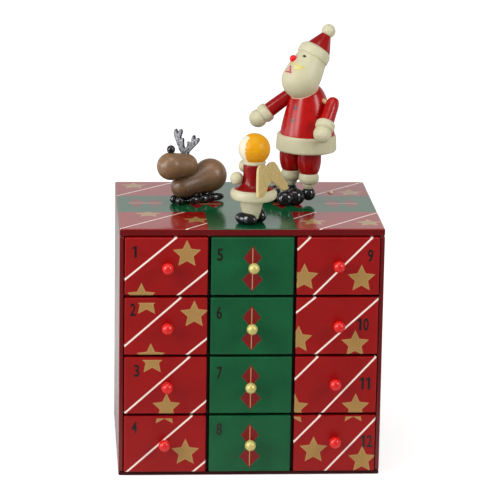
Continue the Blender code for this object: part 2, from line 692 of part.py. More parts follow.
# Reindeer: the middles of the balls that shape its body and head, with heights above
# the top panel
DEER_RUMP = (-0.0273, 0.0171, 0.0196)
DEER_RUMP_RADIUS = 0.0131
DEER_CHEST = (-0.0494, 0.0036, 0.0134)
DEER_CHEST_RADIUS = 0.0090
DEER_MUZZLE = (-0.0588, -0.0014, 0.0307)
DEER_MUZZLE_RADIUS = 0.0108
DEER_SKULL = (-0.0466, 0.0051, 0.0301)
DEER_SKULL_RADIUS = 0.0090
DEER_WAIST_RADIUS = 0.0098
DEER_NOSE_RADIUS = 0.0029
DEER_HIND_FOOT_RADIUS = 0.0034
DEER_FORE_FOOT_RADIUS = 0.0034
DEER_FOOT_RISE = 0.0033
DEER_HIND_SPREAD = 0.0065
DEER_FORE_SPREAD = 0.0040
DEER_HIND_BACK = 0.0075
DEER_FORE_BACK = 0.0050
DEER_PEG_RISE = 0.0100
DEER_FOOT_DOWEL = 0.0070
ANTLER_HEIGHT = 0.0186
ANTLER_THICKNESS = 0.0020
ANTLER_SHIFT = 0.0006
ANTLER_RISE = 0.0002
ANTLER_TURN = math.radians(-27)


def peanut_profile(first_radius, second_radius, length, waist):
    """Two balls joined by a soft waist, the first about the origin."""
    first = ball_profile(first_radius, 5, stop=math.radians(115))
    second = ball_profile(second_radius, 5, length, start=math.radians(65))
    return first + [(waist, length * 0.52)] + second


def antler_outline():
    """Both antlers in one flat piece, across and up from the middle of the skull's top."""
    shape = [(-0.108, -0.140), (0.108, -0.140), (0.129, 0.000), (0.161, 0.086), (0.253, 0.188),
             (0.349, 0.296), (0.457, 0.409), (0.554, 0.522), (0.618, 0.634), (0.591, 0.688),
             (0.522, 0.694), (0.425, 0.656), (0.425, 0.753), (0.382, 0.806), (0.328, 0.774),
             (0.301, 0.683), (0.263, 0.538), (0.183, 0.473), (0.118, 0.511), (0.075, 0.478),
             (0.102, 0.409), (0.075, 0.312), (-0.011, 0.226), (-0.070, 0.280), (-0.097, 0.430),
             (-0.097, 0.591), (-0.140, 0.640), (-0.204, 0.602), (-0.226, 0.677),
             (-0.183, 0.817), (-0.167, 0.957), (-0.226, 1.000), (-0.290, 0.957),
             (-0.360, 0.823), (-0.398, 0.946), (-0.441, 0.995), (-0.500, 0.957),
             (-0.511, 0.806), (-0.473, 0.656), (-0.403, 0.489), (-0.339, 0.323),
             (-0.258, 0.151), (-0.167, 0.000)]
    return sized(shape, ANTLER_HEIGHT, ANTLER_HEIGHT)


def build_reindeer():
    rump = on_top(DEER_RUMP)
    chest = on_top(DEER_CHEST)
    muzzle = on_top(DEER_MUZZLE)
    skull = on_top(DEER_SKULL)
    run = chest - rump
    body_profile = peanut_profile(DEER_RUMP_RADIUS, DEER_CHEST_RADIUS, run.length, DEER_WAIST_RADIUS)
    body = add_object("reindeer_body", turned_mesh("reindeer_body", body_profile, 16),
                      placed(rump, run), BROWN)
    head_run = skull - muzzle
    head_profile_points = peanut_profile(DEER_MUZZLE_RADIUS, DEER_SKULL_RADIUS, head_run.length,
                                         DEER_WAIST_RADIUS)
    head_place = placed(muzzle, head_run)
    head = add_object("reindeer_head", turned_mesh("reindeer_head", head_profile_points, 16),
                      head_place, BROWN)
    nose_place = muzzle + Vector((0, 0, DEER_MUZZLE_RADIUS + DEER_NOSE_RADIUS * 0.8))
    nose = add_object("deer_nose", turned_mesh("deer_nose", ball_profile(DEER_NOSE_RADIUS, 5), 8),
                      placed(nose_place))
    combine(head, nose, "UNION")
    head_cutter = add_object("deer_head_room", turned_mesh("deer_head_room", head_profile_points, 16,
                                                           GLUE_GAP), head_place)
    combine(body, head_cutter, "DIFFERENCE")

    flat_run = Vector((-run.x, -run.y, 0)).normalized()
    side = Vector((-flat_run.y, flat_run.x, 0))
    hind_mesh = sized(ball_profile(DEER_HIND_FOOT_RADIUS, 6), 1.0, 4.8)
    fore_mesh = ball_profile(DEER_FORE_FOOT_RADIUS, 5)
    for number, sign in enumerate((-1, 1)):
        hind = (on_top((rump.x, rump.y, DEER_FOOT_RISE)) + side * sign * DEER_HIND_SPREAD
                - flat_run * DEER_HIND_BACK)
        foot = add_object(f"hind_foot_{number}", turned_mesh("hind_foot", hind_mesh, 10),
                          placed(hind, flat_run))
        combine(body, foot, "UNION")
        fore = (on_top((chest.x, chest.y, DEER_FOOT_RISE)) + side * sign * DEER_FORE_SPREAD
                - flat_run * DEER_FORE_BACK)
        foot = add_object(f"fore_foot_{number}", turned_mesh("fore_foot", fore_mesh, 10), placed(fore))
        combine(body, foot, "UNION")
        for place in (hind, fore):
            dowel = cylinder_cutter("foot_dowel", place, PEG_RADIUS, 0.0, DEER_FOOT_DOWEL)
            combine(body, dowel, "UNION")
    stand_on_top(body, *DEER_PEG, DEER_PEG_RISE)

    antler_place = skull + Vector((-ANTLER_SHIFT, 0, DEER_SKULL_RADIUS + ANTLER_RISE))
    antlers = add_object("reindeer_antlers", plate_mesh("reindeer_antlers", antler_outline(),
                         ANTLER_THICKNESS),
                         Matrix.Translation(antler_place) @ Matrix.Rotation(ANTLER_TURN, 4, "Z"), BLACK)
    combine(antlers, head_cutter, "DIFFERENCE")


clear_scene()
build_case([tuple(boot_middle(RIGHT_LEG).xy), tuple(boot_middle(LEFT_LEG).xy), ANGEL_PLACE, DEER_PEG])
build_drawers()
build_santa()
build_angel()
build_reindeer()
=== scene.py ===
"""Looks of a painted wooden advent calendar box: a case with small numbered drawers on its
front and back, printed like a wrapped present, and a turned Santa, an angel and a reindeer
pegged to its top. Metres, +Z up, the front looks along -Y."""

import json
import math
from functools import reduce

import bmesh
import bpy
import numpy as np
from mathutils import Matrix, Vector

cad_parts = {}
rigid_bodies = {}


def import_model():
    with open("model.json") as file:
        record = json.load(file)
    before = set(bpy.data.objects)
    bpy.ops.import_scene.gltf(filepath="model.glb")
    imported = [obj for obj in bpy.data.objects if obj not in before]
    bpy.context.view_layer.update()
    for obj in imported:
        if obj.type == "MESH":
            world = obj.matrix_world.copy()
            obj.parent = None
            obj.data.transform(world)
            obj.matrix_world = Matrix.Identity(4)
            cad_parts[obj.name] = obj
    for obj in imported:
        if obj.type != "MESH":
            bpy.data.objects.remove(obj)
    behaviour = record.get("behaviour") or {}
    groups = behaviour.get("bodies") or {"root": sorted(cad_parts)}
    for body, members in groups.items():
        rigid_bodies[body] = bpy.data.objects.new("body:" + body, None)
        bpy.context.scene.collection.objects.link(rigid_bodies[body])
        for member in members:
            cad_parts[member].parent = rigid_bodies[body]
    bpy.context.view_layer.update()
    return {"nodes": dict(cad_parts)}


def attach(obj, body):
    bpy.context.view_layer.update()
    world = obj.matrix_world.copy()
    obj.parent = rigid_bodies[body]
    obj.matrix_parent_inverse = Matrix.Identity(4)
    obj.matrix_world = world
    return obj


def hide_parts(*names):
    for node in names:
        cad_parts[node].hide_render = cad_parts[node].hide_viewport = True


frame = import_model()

MM = 0.001

# Case and drawers, as in the frame
CASE_WIDTH = 0.2
CASE_DEPTH = 0.161
CASE_HEIGHT = 0.194
TOP_THICKNESS = 0.0059
BOTTOM_THICKNESS = 0.0033
SIDE_THICKNESS = 0.0036
CASE_EDGE = 0.0012
COLUMNS = 3
ROWS = 4
DIVIDER = 0.0016
SHELF = 0.0014
FRONT_THICKNESS = 0.006
FRONT_PROUD = 0.0028
DRAWER_EDGE = 0.0011
SIDE_PLAY = 0.0004
HEIGHT_PLAY = 0.0003
TRAY_SIDE_INSET = 0.0006
TRAY_BOTTOM_INSET = 0.0002
TRAY_TOP_DROP = 0.006
TRAY_WALL = 0.002
TRAY_FLOOR = 0.0016
TRAY_END_Y = -0.0019
KNOB_BALL = 0.0042
RED_KNOB_BALL = 0.0045
KNOB_STEM = 0.0019
KNOB_CENTRE = 0.00755
# How far each front knob sits to the right of its drawer's middle and above it
KNOB_SHIFTS = {
    1: (0.0008, 0.0002), 2: (0.001, 0.0), 3: (0.0012, 0.0002), 4: (-0.0006, 0.001),
    5: (0.0006, 0.0004), 6: (0.0, -0.0003), 7: (-0.0003, 0.0), 8: (0.0, 0.001),
    9: (0.0, 0.0016), 10: (0.001, 0.0014), 11: (-0.0008, 0.0022), 12: (0.0, 0.0028),
}
JOINT_GAP = 0.0001

INNER_HEIGHT = CASE_HEIGHT - TOP_THICKNESS - BOTTOM_THICKNESS
CELL_WIDTH = (CASE_WIDTH - 2 * SIDE_THICKNESS - (COLUMNS - 1) * DIVIDER) / COLUMNS
CELL_HEIGHT = (INNER_HEIGHT - (ROWS - 1) * SHELF) / ROWS
FRONT_WIDTH = CELL_WIDTH - 2 * SIDE_PLAY
FRONT_HEIGHT = CELL_HEIGHT - 2 * HEIGHT_PLAY
FRONT_Y = -CASE_DEPTH / 2 - FRONT_PROUD

# Print on the front: for each drawer the middles of its stars, some with the height above
# which nothing of them is printed, and two points on each stripe, in millimetres from the
# drawer's middle
PRINTS = {
    1: ([(15.3, 9.7), (-18.7, -23.4)], [(-31.3, -10, 5.3, 20.9), (7.7, -22.9, 30.9, -3.4)]),
    2: ([(-14.7, 18.9, 18.6), (21.3, 9.3), (-11.3, -24)],
        [(-30.4, -14.6, 10.1, 21.7), (15.3, -22.6, 31.3, -9.3)]),
    3: ([(-10.1, 19.6, 20.4), (0.9, -17.1)], [(-30.1, -21, 16.4, 21), (19.9, -22.1, 31.3, -12.1)]),
    4: ([(-0.6, 25.7, 20.6), (15.6, -6.7)],
        [(-28.4, -21.4, 19.1, 21.4), (21.6, -22.1, 30.6, -14.3)]),
    9: ([(-25.6, -8.5), (17.7, -9.5)], [(-30.6, 13.6, -23, 21.2), (-18.4, -22.4, 24.7, 21.9)]),
    10: ([(-29.1, -10.6), (14.1, -14.2)], [(-30.6, 11.1, -18.1, 21.5), (-15.6, -21.8, 30.1, 20.5)]),
    11: ([(-31, -18), (15.6, -17.7), (13.6, 30, 21.2)],
         [(-31, 4.9, -15.6, 20.9), (-9.6, -21.7, 30.1, 22)]),
    12: ([(-32, 26.0, 21.4), (14.1, 26.6, 21.4), (-15.9, -5.3), (21.6, -13.2)],
         [(-30.6, 1.9, -12, 21.5), (-5.6, -20.9, 30.9, 19.4)]),
}
# Middles of the numerals and their heights, in millimetres from the drawer's middle
NUMERALS = {
    1: (-24, 11.6, 9.2), 2: (-24.9, 13.3, 9.7), 3: (-21.9, 11.9, 9.7), 4: (-23.4, 13.6, 9.7),
    5: (-24.6, 9.3, 9.7), 6: (-24.6, 10.7, 9.7), 7: (-23.8, 10, 9.7), 8: (-23.5, 11.9, 9.7),
    9: (24.1, 8.4, 9.7), 10: (19.7, 1.2, 9.7), 11: (22.3, 1.3, 9.7), 12: (24.6, 1.6, 9.7),
}
# Print on the top, millimetres from its middle: for each red corner its stars and stripes
TOP_CORNERS = {
    (-1, -1): ([(-76.9, -31.7), (-41.1, -51)],
               [(-95.4, -74.6, -49.7, -26), (-49, -79.6, -33.3, -61.7)]),
    (1, -1): ([(47.4, -57.4), (89.6, -60.3)], [(33.9, -46.7, 51, -26.7), (51, -80.3, 99.6, -27.4)]),
    (-1, 1): ([(-85.4, 65.4)], [(-98.3, 31.1, -55.4, 75.4)]),
    (1, 1): ([(85.3, 41.1)], [(57.4, 34, 97.4, 76.9)]),
}
# Middles of the pairs of diamonds, those that stand along the box and those that lie across
TOP_DIAMONDS = [(-2.6, -50), (-1, 48)], [(-76.6, 5), (-30.4, 1.9), (35.3, 1.1), (76, 3.3)]
# Size of a lying pair, and its breadth beside that
LYING_DIAMOND = (0.8, 2.5)
BAND_HALF_WIDTH = 33.4
SIDE_BAND = (-25, 29)
# Print on the left panel, millimetres from its middle and from the floor; the stripes go on
# across the middle of the height
SIDE_CORNERS = {
    (-1, -1): ([(-46, 30), (-62, 66)], [(-80, 34, -25, 89), (-80, 78, -25, 133)]),
    (-1, 1): ([(-58, 158), (-38, 114)], [(-80, 78, -25, 133), (-80, 122, -25, 177)]),
    (1, -1): ([(58, 30), (44, 64)], [(29, 18, 80, 69), (29, 66, 80, 117)]),
    (1, 1): ([(50, 158), (66, 118)], [(29, 66, 80, 117), (29, 114, 80, 165)]),
}
SIDE_DIAMONDS = (45, 97, 149)
STAR_RADIUS = 11.0
STRIPE_WIDTH = 1.4
SHARP_ANGLE = math.radians(38)


# Colours as seen on screen, red, green and blue from 0 to 255
PRINT_RED = (153, 8, 8)
PRINT_RED_DEEP = (140, 4, 4)
PRINT_GREEN = (14, 92, 52)
PRINT_GREEN_DEEP = (8, 74, 42)
EDGE_RED = (112, 2, 6)
# Painted shade: the bottom panel's red is darkened for the shade along the bottom edge
BOTTOM_SHADE_RED = (66, 0, 4)
DIAMOND_RED = (122, 20, 22)
STRIPE_WHITE = (250, 226, 216)
STAR_GOLD = (158, 122, 62)
STAR_RIM = (180, 140, 86)
LINE_GOLD = (196, 152, 96)
INK = (20, 8, 8)
KNOB_RED = (228, 16, 12)
BRASS = (222, 212, 136)
CREAM = (207, 202, 170)
CREAM_SHADE = (193, 186, 148)
COAT_RED = (188, 6, 4)
COAT_DEEP = (140, 2, 2)
TROUSER_RED = (160, 6, 6)
TROUSER_DEEP = (118, 2, 4)
NOSE_RED = (240, 20, 24)
BLACK = (18, 17, 22)
HAIR_GOLD = (226, 158, 2)
HAIR_DEEP = (202, 120, 1)
SKIN = (232, 226, 200)
BARE_WOOD = (196, 174, 116)
BARE_WOOD_DARK = (168, 142, 84)
DOWEL_WOOD = (216, 178, 132)
TRAY_WOOD = (205, 176, 132)
TRAY_WOOD_DARK = (176, 142, 96)
# Near-black of the grid's outer edges: painted shade in the gaps between the drawers
GAP_SHADE_DARK = (26, 8, 8)
DEER_BROWN = (142, 106, 74)
DEER_DARK = (84, 60, 38)
ANTLER_GREY = (198, 200, 208)


# ---- Meshes ----

def grid_faces(rows, columns, closed):
    """Quads of a grid whose points are numbered row by row; closed joins the last column
    to the first."""
    row = np.arange(rows - 1)[:, None]
    column = np.arange(columns if closed else columns - 1)[None, :]
    after = (column + 1) % columns
    corners = (row * columns + column, row * columns + after,
               (row + 1) * columns + after, (row + 1) * columns + column)
    return np.stack(np.broadcast_arrays(*corners), -1).reshape(-1, 4)


def unit(vector):
    vector = np.asarray(vector, float)
    return vector / np.linalg.norm(vector)


def axes_about(axis):
    """Two directions square to an axis, and the axis, as a right-handed set."""
    along = unit(axis)
    helper = (0.0, 0.0, 1.0) if abs(along[2]) < 0.9 else (0.0, 1.0, 0.0)
    across = unit(np.cross(helper, along))
    return across, np.cross(along, across), along


def ball(radius, centre=0.0, start=0.0, stop=180.0, steps=28):
    """Profile of a ball: radius·sin(a) across and centre - radius·cos(a) up, for a from
    start to stop degrees above the lower pole."""
    angle = np.radians(np.linspace(start, stop, steps + 1))
    return np.stack([radius * np.sin(angle), centre - radius * np.cos(angle)], 1)


def smooth(points, steps=6):
    """A curve through the points: between two of them it is the cubic whose end slopes
    are half the step between the neighbours."""
    points = np.asarray(points, float)
    slope = np.vstack([points[1] - points[0], (points[2:] - points[:-2]) / 2,
                       points[-1] - points[-2]])
    t = (np.arange(steps) / steps)[None, :, None]
    start, end = points[:-1, None], points[1:, None]
    leave, arrive = slope[:-1, None], slope[1:, None]
    curve = ((2 * t ** 3 - 3 * t ** 2 + 1) * start + (t ** 3 - 2 * t ** 2 + t) * leave
             + (3 * t ** 2 - 2 * t ** 3) * end + (t ** 3 - t ** 2) * arrive)
    return np.vstack([curve.reshape(-1, points.shape[1]), points[-1:]])


def drum(low_radius, high_radius, low, high, edge, steps=6):
    """Profile of a drum with rounded rims: straight sides, and a quarter circle of the
    edge's radius at each rim."""
    angle = np.radians(np.linspace(0, 90, steps + 1))
    sine, cosine = edge * np.sin(angle), edge * np.cos(angle)
    bottom = np.stack([low_radius - edge + sine, low + edge - cosine], 1)
    top = np.stack([high_radius - edge + cosine, high - edge + sine], 1)
    return np.vstack([[(0.0, low)], bottom, top, [(0.0, high)]])


def turned(profile, place, axis=(0, 0, 1), around=72):
    """Surface of revolution: each profile point (r, h) goes round as place + h·axis
    + r·(cos t·across + sin t·side)."""
    profile = np.asarray(profile, float)
    across, side, along = axes_about(axis)
    angle = np.linspace(0, 2 * np.pi, around, endpoint=False)[None, :, None]
    ring = np.cos(angle) * across + np.sin(angle) * side
    points = (np.asarray(place, float) + profile[:, 1, None, None] * along
              + profile[:, 0, None, None] * ring)
    return points.reshape(-1, 3), grid_faces(len(profile), around, True)


def joined(*shapes):
    """Several shapes as one."""
    starts = np.cumsum([0] + [len(points) for points, faces in shapes[:-1]])
    return (np.vstack([points for points, faces in shapes]),
            np.vstack([faces + start for (points, faces), start in zip(shapes, starts)]))


def rounded_box(low, high, edge, steps=4):
    """A box with rounded edges: over each face of the box runs a grid, and each of its
    points p moves to q + edge·(p - q)/|p - q|, where q is the nearest point of the box
    that is smaller by the edge's radius. One more grid line beside each edge keeps the
    flat faces flat in the light."""
    low, high = np.asarray(low, float), np.asarray(high, float)
    centre, half = (low + high) / 2, (high - low) / 2
    inner = half - edge
    turn = edge * np.tan(np.radians(np.linspace(45, 0, steps + 1)))
    shapes = []
    for normal in range(3):
        first, second = (normal + 1) % 3, (normal + 2) % 3
        lines = []
        for axis in (first, second):
            margin = np.concatenate([inner[axis] + turn, [inner[axis] - 0.25 * edge]])
            lines.append(np.concatenate([-margin, margin[::-1]]))
        grid = np.meshgrid(*lines, indexing="ij")
        for sign in (1, -1):
            points = np.empty((*grid[0].shape, 3))
            points[..., first], points[..., second] = grid
            points[..., normal] = sign * half[normal]
            core = np.clip(points, -inner, inner)
            away = points - core
            points = core + edge * away / np.linalg.norm(away, axis=-1, keepdims=True)
            faces = grid_faces(len(lines[0]), len(lines[1]), False)
            if sign == 1:
                faces = faces[:, ::-1]
            shapes.append((points.reshape(-1, 3) + centre, faces))
    return joined(*shapes)


def plate(outline, thickness, edge, place, across, up, steps=3, grow=0.0):
    """A flat plate with rounded rims from a closed outline (a, b): rings of the outline,
    pulled in by edge·(1 - cos t) - grow and set at ± (thickness/2 - edge + edge·sin t),
    are joined by quads, and one flat face closes each side."""
    outline = np.asarray(outline, float)
    before, after = np.roll(outline, 1, 0), np.roll(outline, -1, 0)
    run = after - before
    run /= np.linalg.norm(run, axis=1, keepdims=True)
    area = np.sum(outline[:, 0] * after[:, 1] - after[:, 0] * outline[:, 1])
    outward = np.stack([run[:, 1], -run[:, 0]], 1) * np.sign(area)
    angle = np.radians(np.linspace(0, 90, steps + 1))
    flat = thickness / 2 - edge
    depth = np.concatenate([-(flat + edge * np.sin(angle[::-1])), flat + edge * np.sin(angle)])
    inset = np.concatenate([edge * (1 - np.cos(angle[::-1])), edge * (1 - np.cos(angle))]) - grow
    rings = outline[None] - inset[:, None, None] * outward[None]
    across, up = unit(across), unit(up)
    normal = np.cross(across, up)
    points = (np.asarray(place, float) + rings[..., :1] * across + rings[..., 1:] * up
              + depth[:, None, None] * normal)
    faces = grid_faces(len(depth), len(outline), True)
    first, last = np.arange(len(outline)), np.arange(depth.size * len(outline))[-len(outline):]
    return points.reshape(-1, 3), faces, (first.tolist(), last[::-1].tolist())


def spool(profile, place, axis=(0, 0, 1), around=72):
    """A turned piece whose profile is a smooth curve through points in millimetres, closed
    by a flat disc at each end."""
    curve = smooth(np.array(profile) * MM)
    return turned(np.vstack([[(0, curve[0, 1])], curve, [(0, curve[-1, 1])]]), place, axis, around)


def linked(name, data):
    """A new object in the scene."""
    thing = bpy.data.objects.new(name, data)
    bpy.context.scene.collection.objects.link(thing)
    return thing


def made(name, shape):
    """An object from points, quads and, if there are any, faces with more corners: doubles
    merged and every face outward."""
    points, faces, caps = (*shape, ())[:3]
    mesh = bpy.data.meshes.new(name)
    mesh.from_pydata(points.tolist(), [], [*faces.tolist(), *caps])
    work = bmesh.new()
    work.from_mesh(mesh)
    bmesh.ops.remove_doubles(work, verts=work.verts, dist=1e-7)
    bmesh.ops.recalc_face_normals(work, faces=work.faces)
    work.to_mesh(mesh)
    work.free()
    return linked(name, mesh)


def shade(mesh):
    mesh.shade_smooth()
    mesh.set_sharp_from_angle(angle=SHARP_ANGLE)


def put(name, shape, finish, body, nodes=()):
    """A finished piece, which rides on its body and stands for its CAD nodes. A finish is a
    material and the slot that it fills; the slot is not used."""
    thing = made(name, shape)
    shade(thing.data)
    thing.data.materials.append(finish[0])
    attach(thing, body)
    if nodes:
        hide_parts(*nodes)
    return thing


def figure(name, node, finish, shape):
    """A piece of one of the figures, which are fixed to the case."""
    put(name, shape, finish, "case", [node])


# ---- Shader maths ----

class Socket:
    """An output of a material's nodes. Python's operators on it add Math nodes."""

    def __init__(self, paint, output):
        self.paint = paint
        self.output = output

    def maths(self, operation, first, second=0.0, clamp=False):
        return self.paint.node("ShaderNodeMath", {"operation": operation, "use_clamp": clamp},
                               {0: first, 1: second})

    def __add__(self, other):
        return self.maths("ADD", self, other)

    __radd__ = __add__

    def __sub__(self, other):
        return self.maths("SUBTRACT", self, other)

    def __rsub__(self, other):
        return self.maths("SUBTRACT", other, self)

    def __mul__(self, other):
        return self.maths("MULTIPLY", self, other)

    __rmul__ = __mul__

    def __truediv__(self, other):
        return self.maths("DIVIDE", self, other)

    def __pow__(self, other):
        return self.maths("POWER", self, other)

    def __abs__(self):
        return self.maths("ABSOLUTE", self)

    def clamped(self):
        return self.maths("ADD", self, 0.0, clamp=True)

    def least(self, other):
        return self.maths("MINIMUM", self, other)

    def most(self, other):
        return self.maths("MAXIMUM", self, other)


class Paint:
    """A material in the making, whose place is the point in metres, or another owner's
    node tree being filled."""

    def __init__(self, name, owner=None, coordinate="Object"):
        self.owner = owner or bpy.data.materials.new(name)
        self.owner.use_nodes = True
        self.tree = self.owner.node_tree
        self.tree.nodes.clear()
        self.place = self.node("ShaderNodeTexCoord", output=coordinate)

    def node(self, kind, settings=(), values=(), output=0):
        """Adds a node: its settings first, then the values or links of its sockets."""
        node = self.tree.nodes.new(kind)
        for name, value in dict(settings).items():
            setattr(node, name, value)
        for name, value in dict(values).items():
            if isinstance(value, Socket):
                self.tree.links.new(value.output, node.inputs[name])
            else:
                node.inputs[name].default_value = value
        return Socket(self, node.outputs[output]) if node.outputs else None

    def outputs(self, socket, *names):
        """Other outputs of a socket's node."""
        return [Socket(self, socket.output.node.outputs[name]) for name in names]

    def vector(self, operation, first, second, output=0):
        return self.node("ShaderNodeVectorMath", {"operation": operation},
                         {0: first, 1: tuple(second)}, output)

    def away(self, point):
        """The vector from a point to the place."""
        return self.vector("SUBTRACT", self.place, point)

    def along(self, direction, vector=None):
        """How far a vector reaches along a direction."""
        return self.vector("DOT_PRODUCT", vector or self.place, direction, "Value")

    def distance(self, point):
        return self.vector("DISTANCE", self.place, point, "Value")

    def normal(self):
        """Where the surface faces."""
        return self.node("ShaderNodeNewGeometry", output="Normal")

    def mix(self, under, over, share):
        """One colour laid over another by a share. A colour that isn't a link is as seen
        on screen, and goes in as the shader's linear one."""
        colours = [value if isinstance(value, Socket)
                   else (*[((part / 255 + 0.055) / 1.055) ** 2.4 for part in value], 1.0)
                   for value in (under, over)]
        return self.node("ShaderNodeMix", {"data_type": "RGBA"},
                         {0: share, 6: colours[0], 7: colours[1]}, 2)

    def noise(self, scale, detail=3.0, roughness=0.5, stretch=(1, 1, 1), distortion=0.0):
        """Soft random values about a half; scale is the number of blotches in a metre."""
        size = self.node("ShaderNodeMapping", values={"Vector": self.place, "Scale": stretch})
        return self.node("ShaderNodeTexNoise", values={
            "Vector": size, "Scale": scale, "Detail": detail, "Roughness": roughness,
            "Distortion": distortion})

    def below(self, distance, softness):
        """1 where a distance is under 0 and 0 where it is over, soft across the edge."""
        return (0.5 - distance / softness).clamped()

    def layered(self, colour, *layers):
        """Shapes painted over a colour, one over the other: each is its colour, the
        distance outside it, the softness of its rim and its strength."""
        for tint, reach, softness, strength in layers:
            colour = self.mix(colour, tint, self.below(reach, softness) * strength)
        return colour

    def finish(self, colour, roughness, bump, bump_height, **constants):
        """The surface: colour and roughness may vary, and so may the height behind bump;
        constants are set on the shader's own sockets."""
        normal = self.node("ShaderNodeBump", values={
            "Height": bump, "Strength": bump_height, "Distance": 0.0002})
        values = {"Base Color": colour, "Roughness": roughness, "Normal": normal}
        for name, value in constants.items():
            values[name.replace("_", " ")] = value
        surface = self.node("ShaderNodeBsdfPrincipled", values=values)
        self.node("ShaderNodeOutputMaterial", values={"Surface": surface})
        return self.owner


# ---- The print ----

STAR_INNER = 0.48
STAR_FOLD = math.radians(36)
STAR_NORMAL = math.atan2(1 - STAR_INNER * math.cos(STAR_FOLD), STAR_INNER * math.sin(STAR_FOLD))


def star(across, up, middle):
    """Distance outside a five-pointed star that stands on two points: the angle about its
    middle is folded into a tenth of a turn, where its rim is one straight line."""
    x = across - middle[0]
    y = up - middle[1]
    angle = x.maths("PINGPONG", x.maths("ARCTAN2", x, y), STAR_FOLD)
    reach = (x * x + y * y) ** 0.5
    toward = x.maths("COSINE", angle - STAR_NORMAL)
    return reach * toward - STAR_RADIUS * math.cos(STAR_NORMAL)


def beyond(x, y, ends, sign=1.0):
    """Distance beyond a straight line through two points: to the right of its run, or to
    the left for a negative sign."""
    x0, y0, x1, y1 = ends
    length = math.copysign(math.hypot(x1 - x0, y1 - y0), sign)
    across, up = (y1 - y0) / length, (x0 - x1) / length
    return x * across + y * up - (x0 * across + y0 * up)


def diamond(across, up, half_width, half_height):
    """Distance outside a diamond, by the sum of its shares of width and height."""
    share = abs(across) / half_width + abs(up) / half_height
    return (share - 1.0) * min(half_width, half_height)


def nearest(distances):
    return reduce(Socket.least, distances)


def star_print(paint, ground, across, up, stars, stripes, room=1.0):
    """Stars with a lighter rim and pale stripes printed over a ground, where it has room."""
    mottle = paint.noise(900, 2.0)
    stripe_reach = nearest([abs(beyond(across, up, ends)) for ends in stripes])
    stripe_share = paint.below(stripe_reach - STRIPE_WIDTH / 2, 0.25)
    star_reach = nearest([star(across, up, middle) if len(middle) == 2
                          else star(across, up, middle).most(up - middle[2]) for middle in stars])
    star_share = paint.below(star_reach, 0.3)
    rim_share = paint.below(-0.75 - star_reach, 0.5)
    gold = paint.mix(STAR_GOLD, STAR_RIM, (mottle * 1.6 - 0.45).clamped())
    gold = paint.mix(gold, STAR_RIM, rim_share * 0.8)
    printed = paint.mix(ground, STRIPE_WHITE, stripe_share * room)
    return paint.mix(printed, gold, star_share * room)


def double_diamond(paint, ground, across, up, middle, size=1.0, broad=1.0):
    """Two red diamonds one above the other with a fine gold line through both."""
    x = (across - middle[0]) / broad
    y = up - middle[1]
    ragged = (paint.noise(500, 2.0) - 0.5) * 1.6
    upper = diamond(x, y - 7.1 * size, 6.8 * size, 8.9 * size)
    lower = diamond(x, y + 10.0 * size, 7.7 * size, 9.0 * size)
    line = (abs(x) - 0.35).most(abs(y + 1.7) - 15.8 * size)
    return paint.layered(ground, (DIAMOND_RED, upper.least(lower) + ragged, 0.7, 1.0),
                         (LINE_GOLD, line, 0.25, 0.85))


def lacquer(paint, colour, deep, base_rough=0.34):
    """Printed paper under clear lacquer: the colour drifts a little, and the lacquer has a
    faint orange peel."""
    drift = paint.noise(45)
    fibre = paint.noise(1400, 2.0)
    return (paint.mix(colour, deep, (drift * 1.7 - 0.5 + (fibre - 0.5) * 0.5).clamped()),
            base_rough + (paint.noise(120) - 0.5) * 0.12,
            paint.noise(260, 2.0) + fibre * 0.4)


def drawer_paint(number, origin, right):
    """Finish of one drawer's front board, with its share of the wrap."""
    paint = Paint(f"print_{number:02d}")
    here = paint.away(origin)
    across, up = paint.along(np.asarray(right) * 1000, here), paint.along((0, 0, 1000), here)
    model = (number - 1) % (COLUMNS * ROWS) + 1
    if model in PRINTS:
        ground, rough, peel = lacquer(paint, PRINT_RED, PRINT_RED_DEEP)
        colour = star_print(paint, ground, across, up, *PRINTS[model])
    else:
        ground, rough, peel = lacquer(paint, PRINT_GREEN, PRINT_GREEN_DEEP)
        colour = double_diamond(paint, ground, across, up, (0, 0))
    return paint.finish(colour, rough, peel, 0.05, Specular_IOR_Level=0.3)


def case_paint(name, axes, corners, standing_pairs, lying_pairs, band_x, band_y):
    """Print of the top or a side panel: red corners with stars and stripes between green
    bands with diamonds, and the paint's roughness and height. A band that ends where it
    begins is none."""
    paint = Paint(name)
    across, up = (paint.along(np.asarray(axis) * 1000) for axis in axes)
    ground, rough, peel = lacquer(paint, PRINT_RED, PRINT_RED_DEEP, 0.1)
    for (side_x, side_y), (stars, stripes) in corners.items():
        room = (paint.below((band_x[side_x > 0] - across) * side_x, 0.3)
                * paint.below((band_y[side_y > 0] - up) * side_y, 0.3))
        ground = star_print(paint, ground, across, up, stars, stripes, room)
    green = paint.mix(PRINT_GREEN, PRINT_GREEN_DEEP, paint.noise(45))
    bands = [paint.below((low - value).most(value - high), 0.3)
             for value, (low, high) in ((across, band_x), (up, band_y)) if low < high]
    colour = paint.mix(ground, green, reduce(Socket.most, bands))
    for middle in standing_pairs:
        colour = double_diamond(paint, colour, across, up, middle)
    for middle in lying_pairs:
        colour = double_diamond(paint, colour, up, across, middle[::-1], *LYING_DIAMOND)
    return paint, colour, rough, peel


def plain_paint(name, colour, deep, roughness=0.3, coat=0.4, coat_roughness=0.08, specular=0.5,
                slot="red_paint"):
    """Brushed lacquer of one colour, with slow drifts of shade and a faint orange peel."""
    paint = Paint(name)
    drift = paint.noise(60)
    brushed = paint.noise(420)
    colour = paint.mix(colour, deep, (drift * 1.5 - 0.45 + (brushed - 0.5) * 0.4).clamped())
    return paint.finish(colour, roughness + (drift - 0.5) * 0.1, brushed, 0.04,
                        Specular_IOR_Level=specular, Coat_Weight=coat,
                        Coat_Roughness=coat_roughness), slot


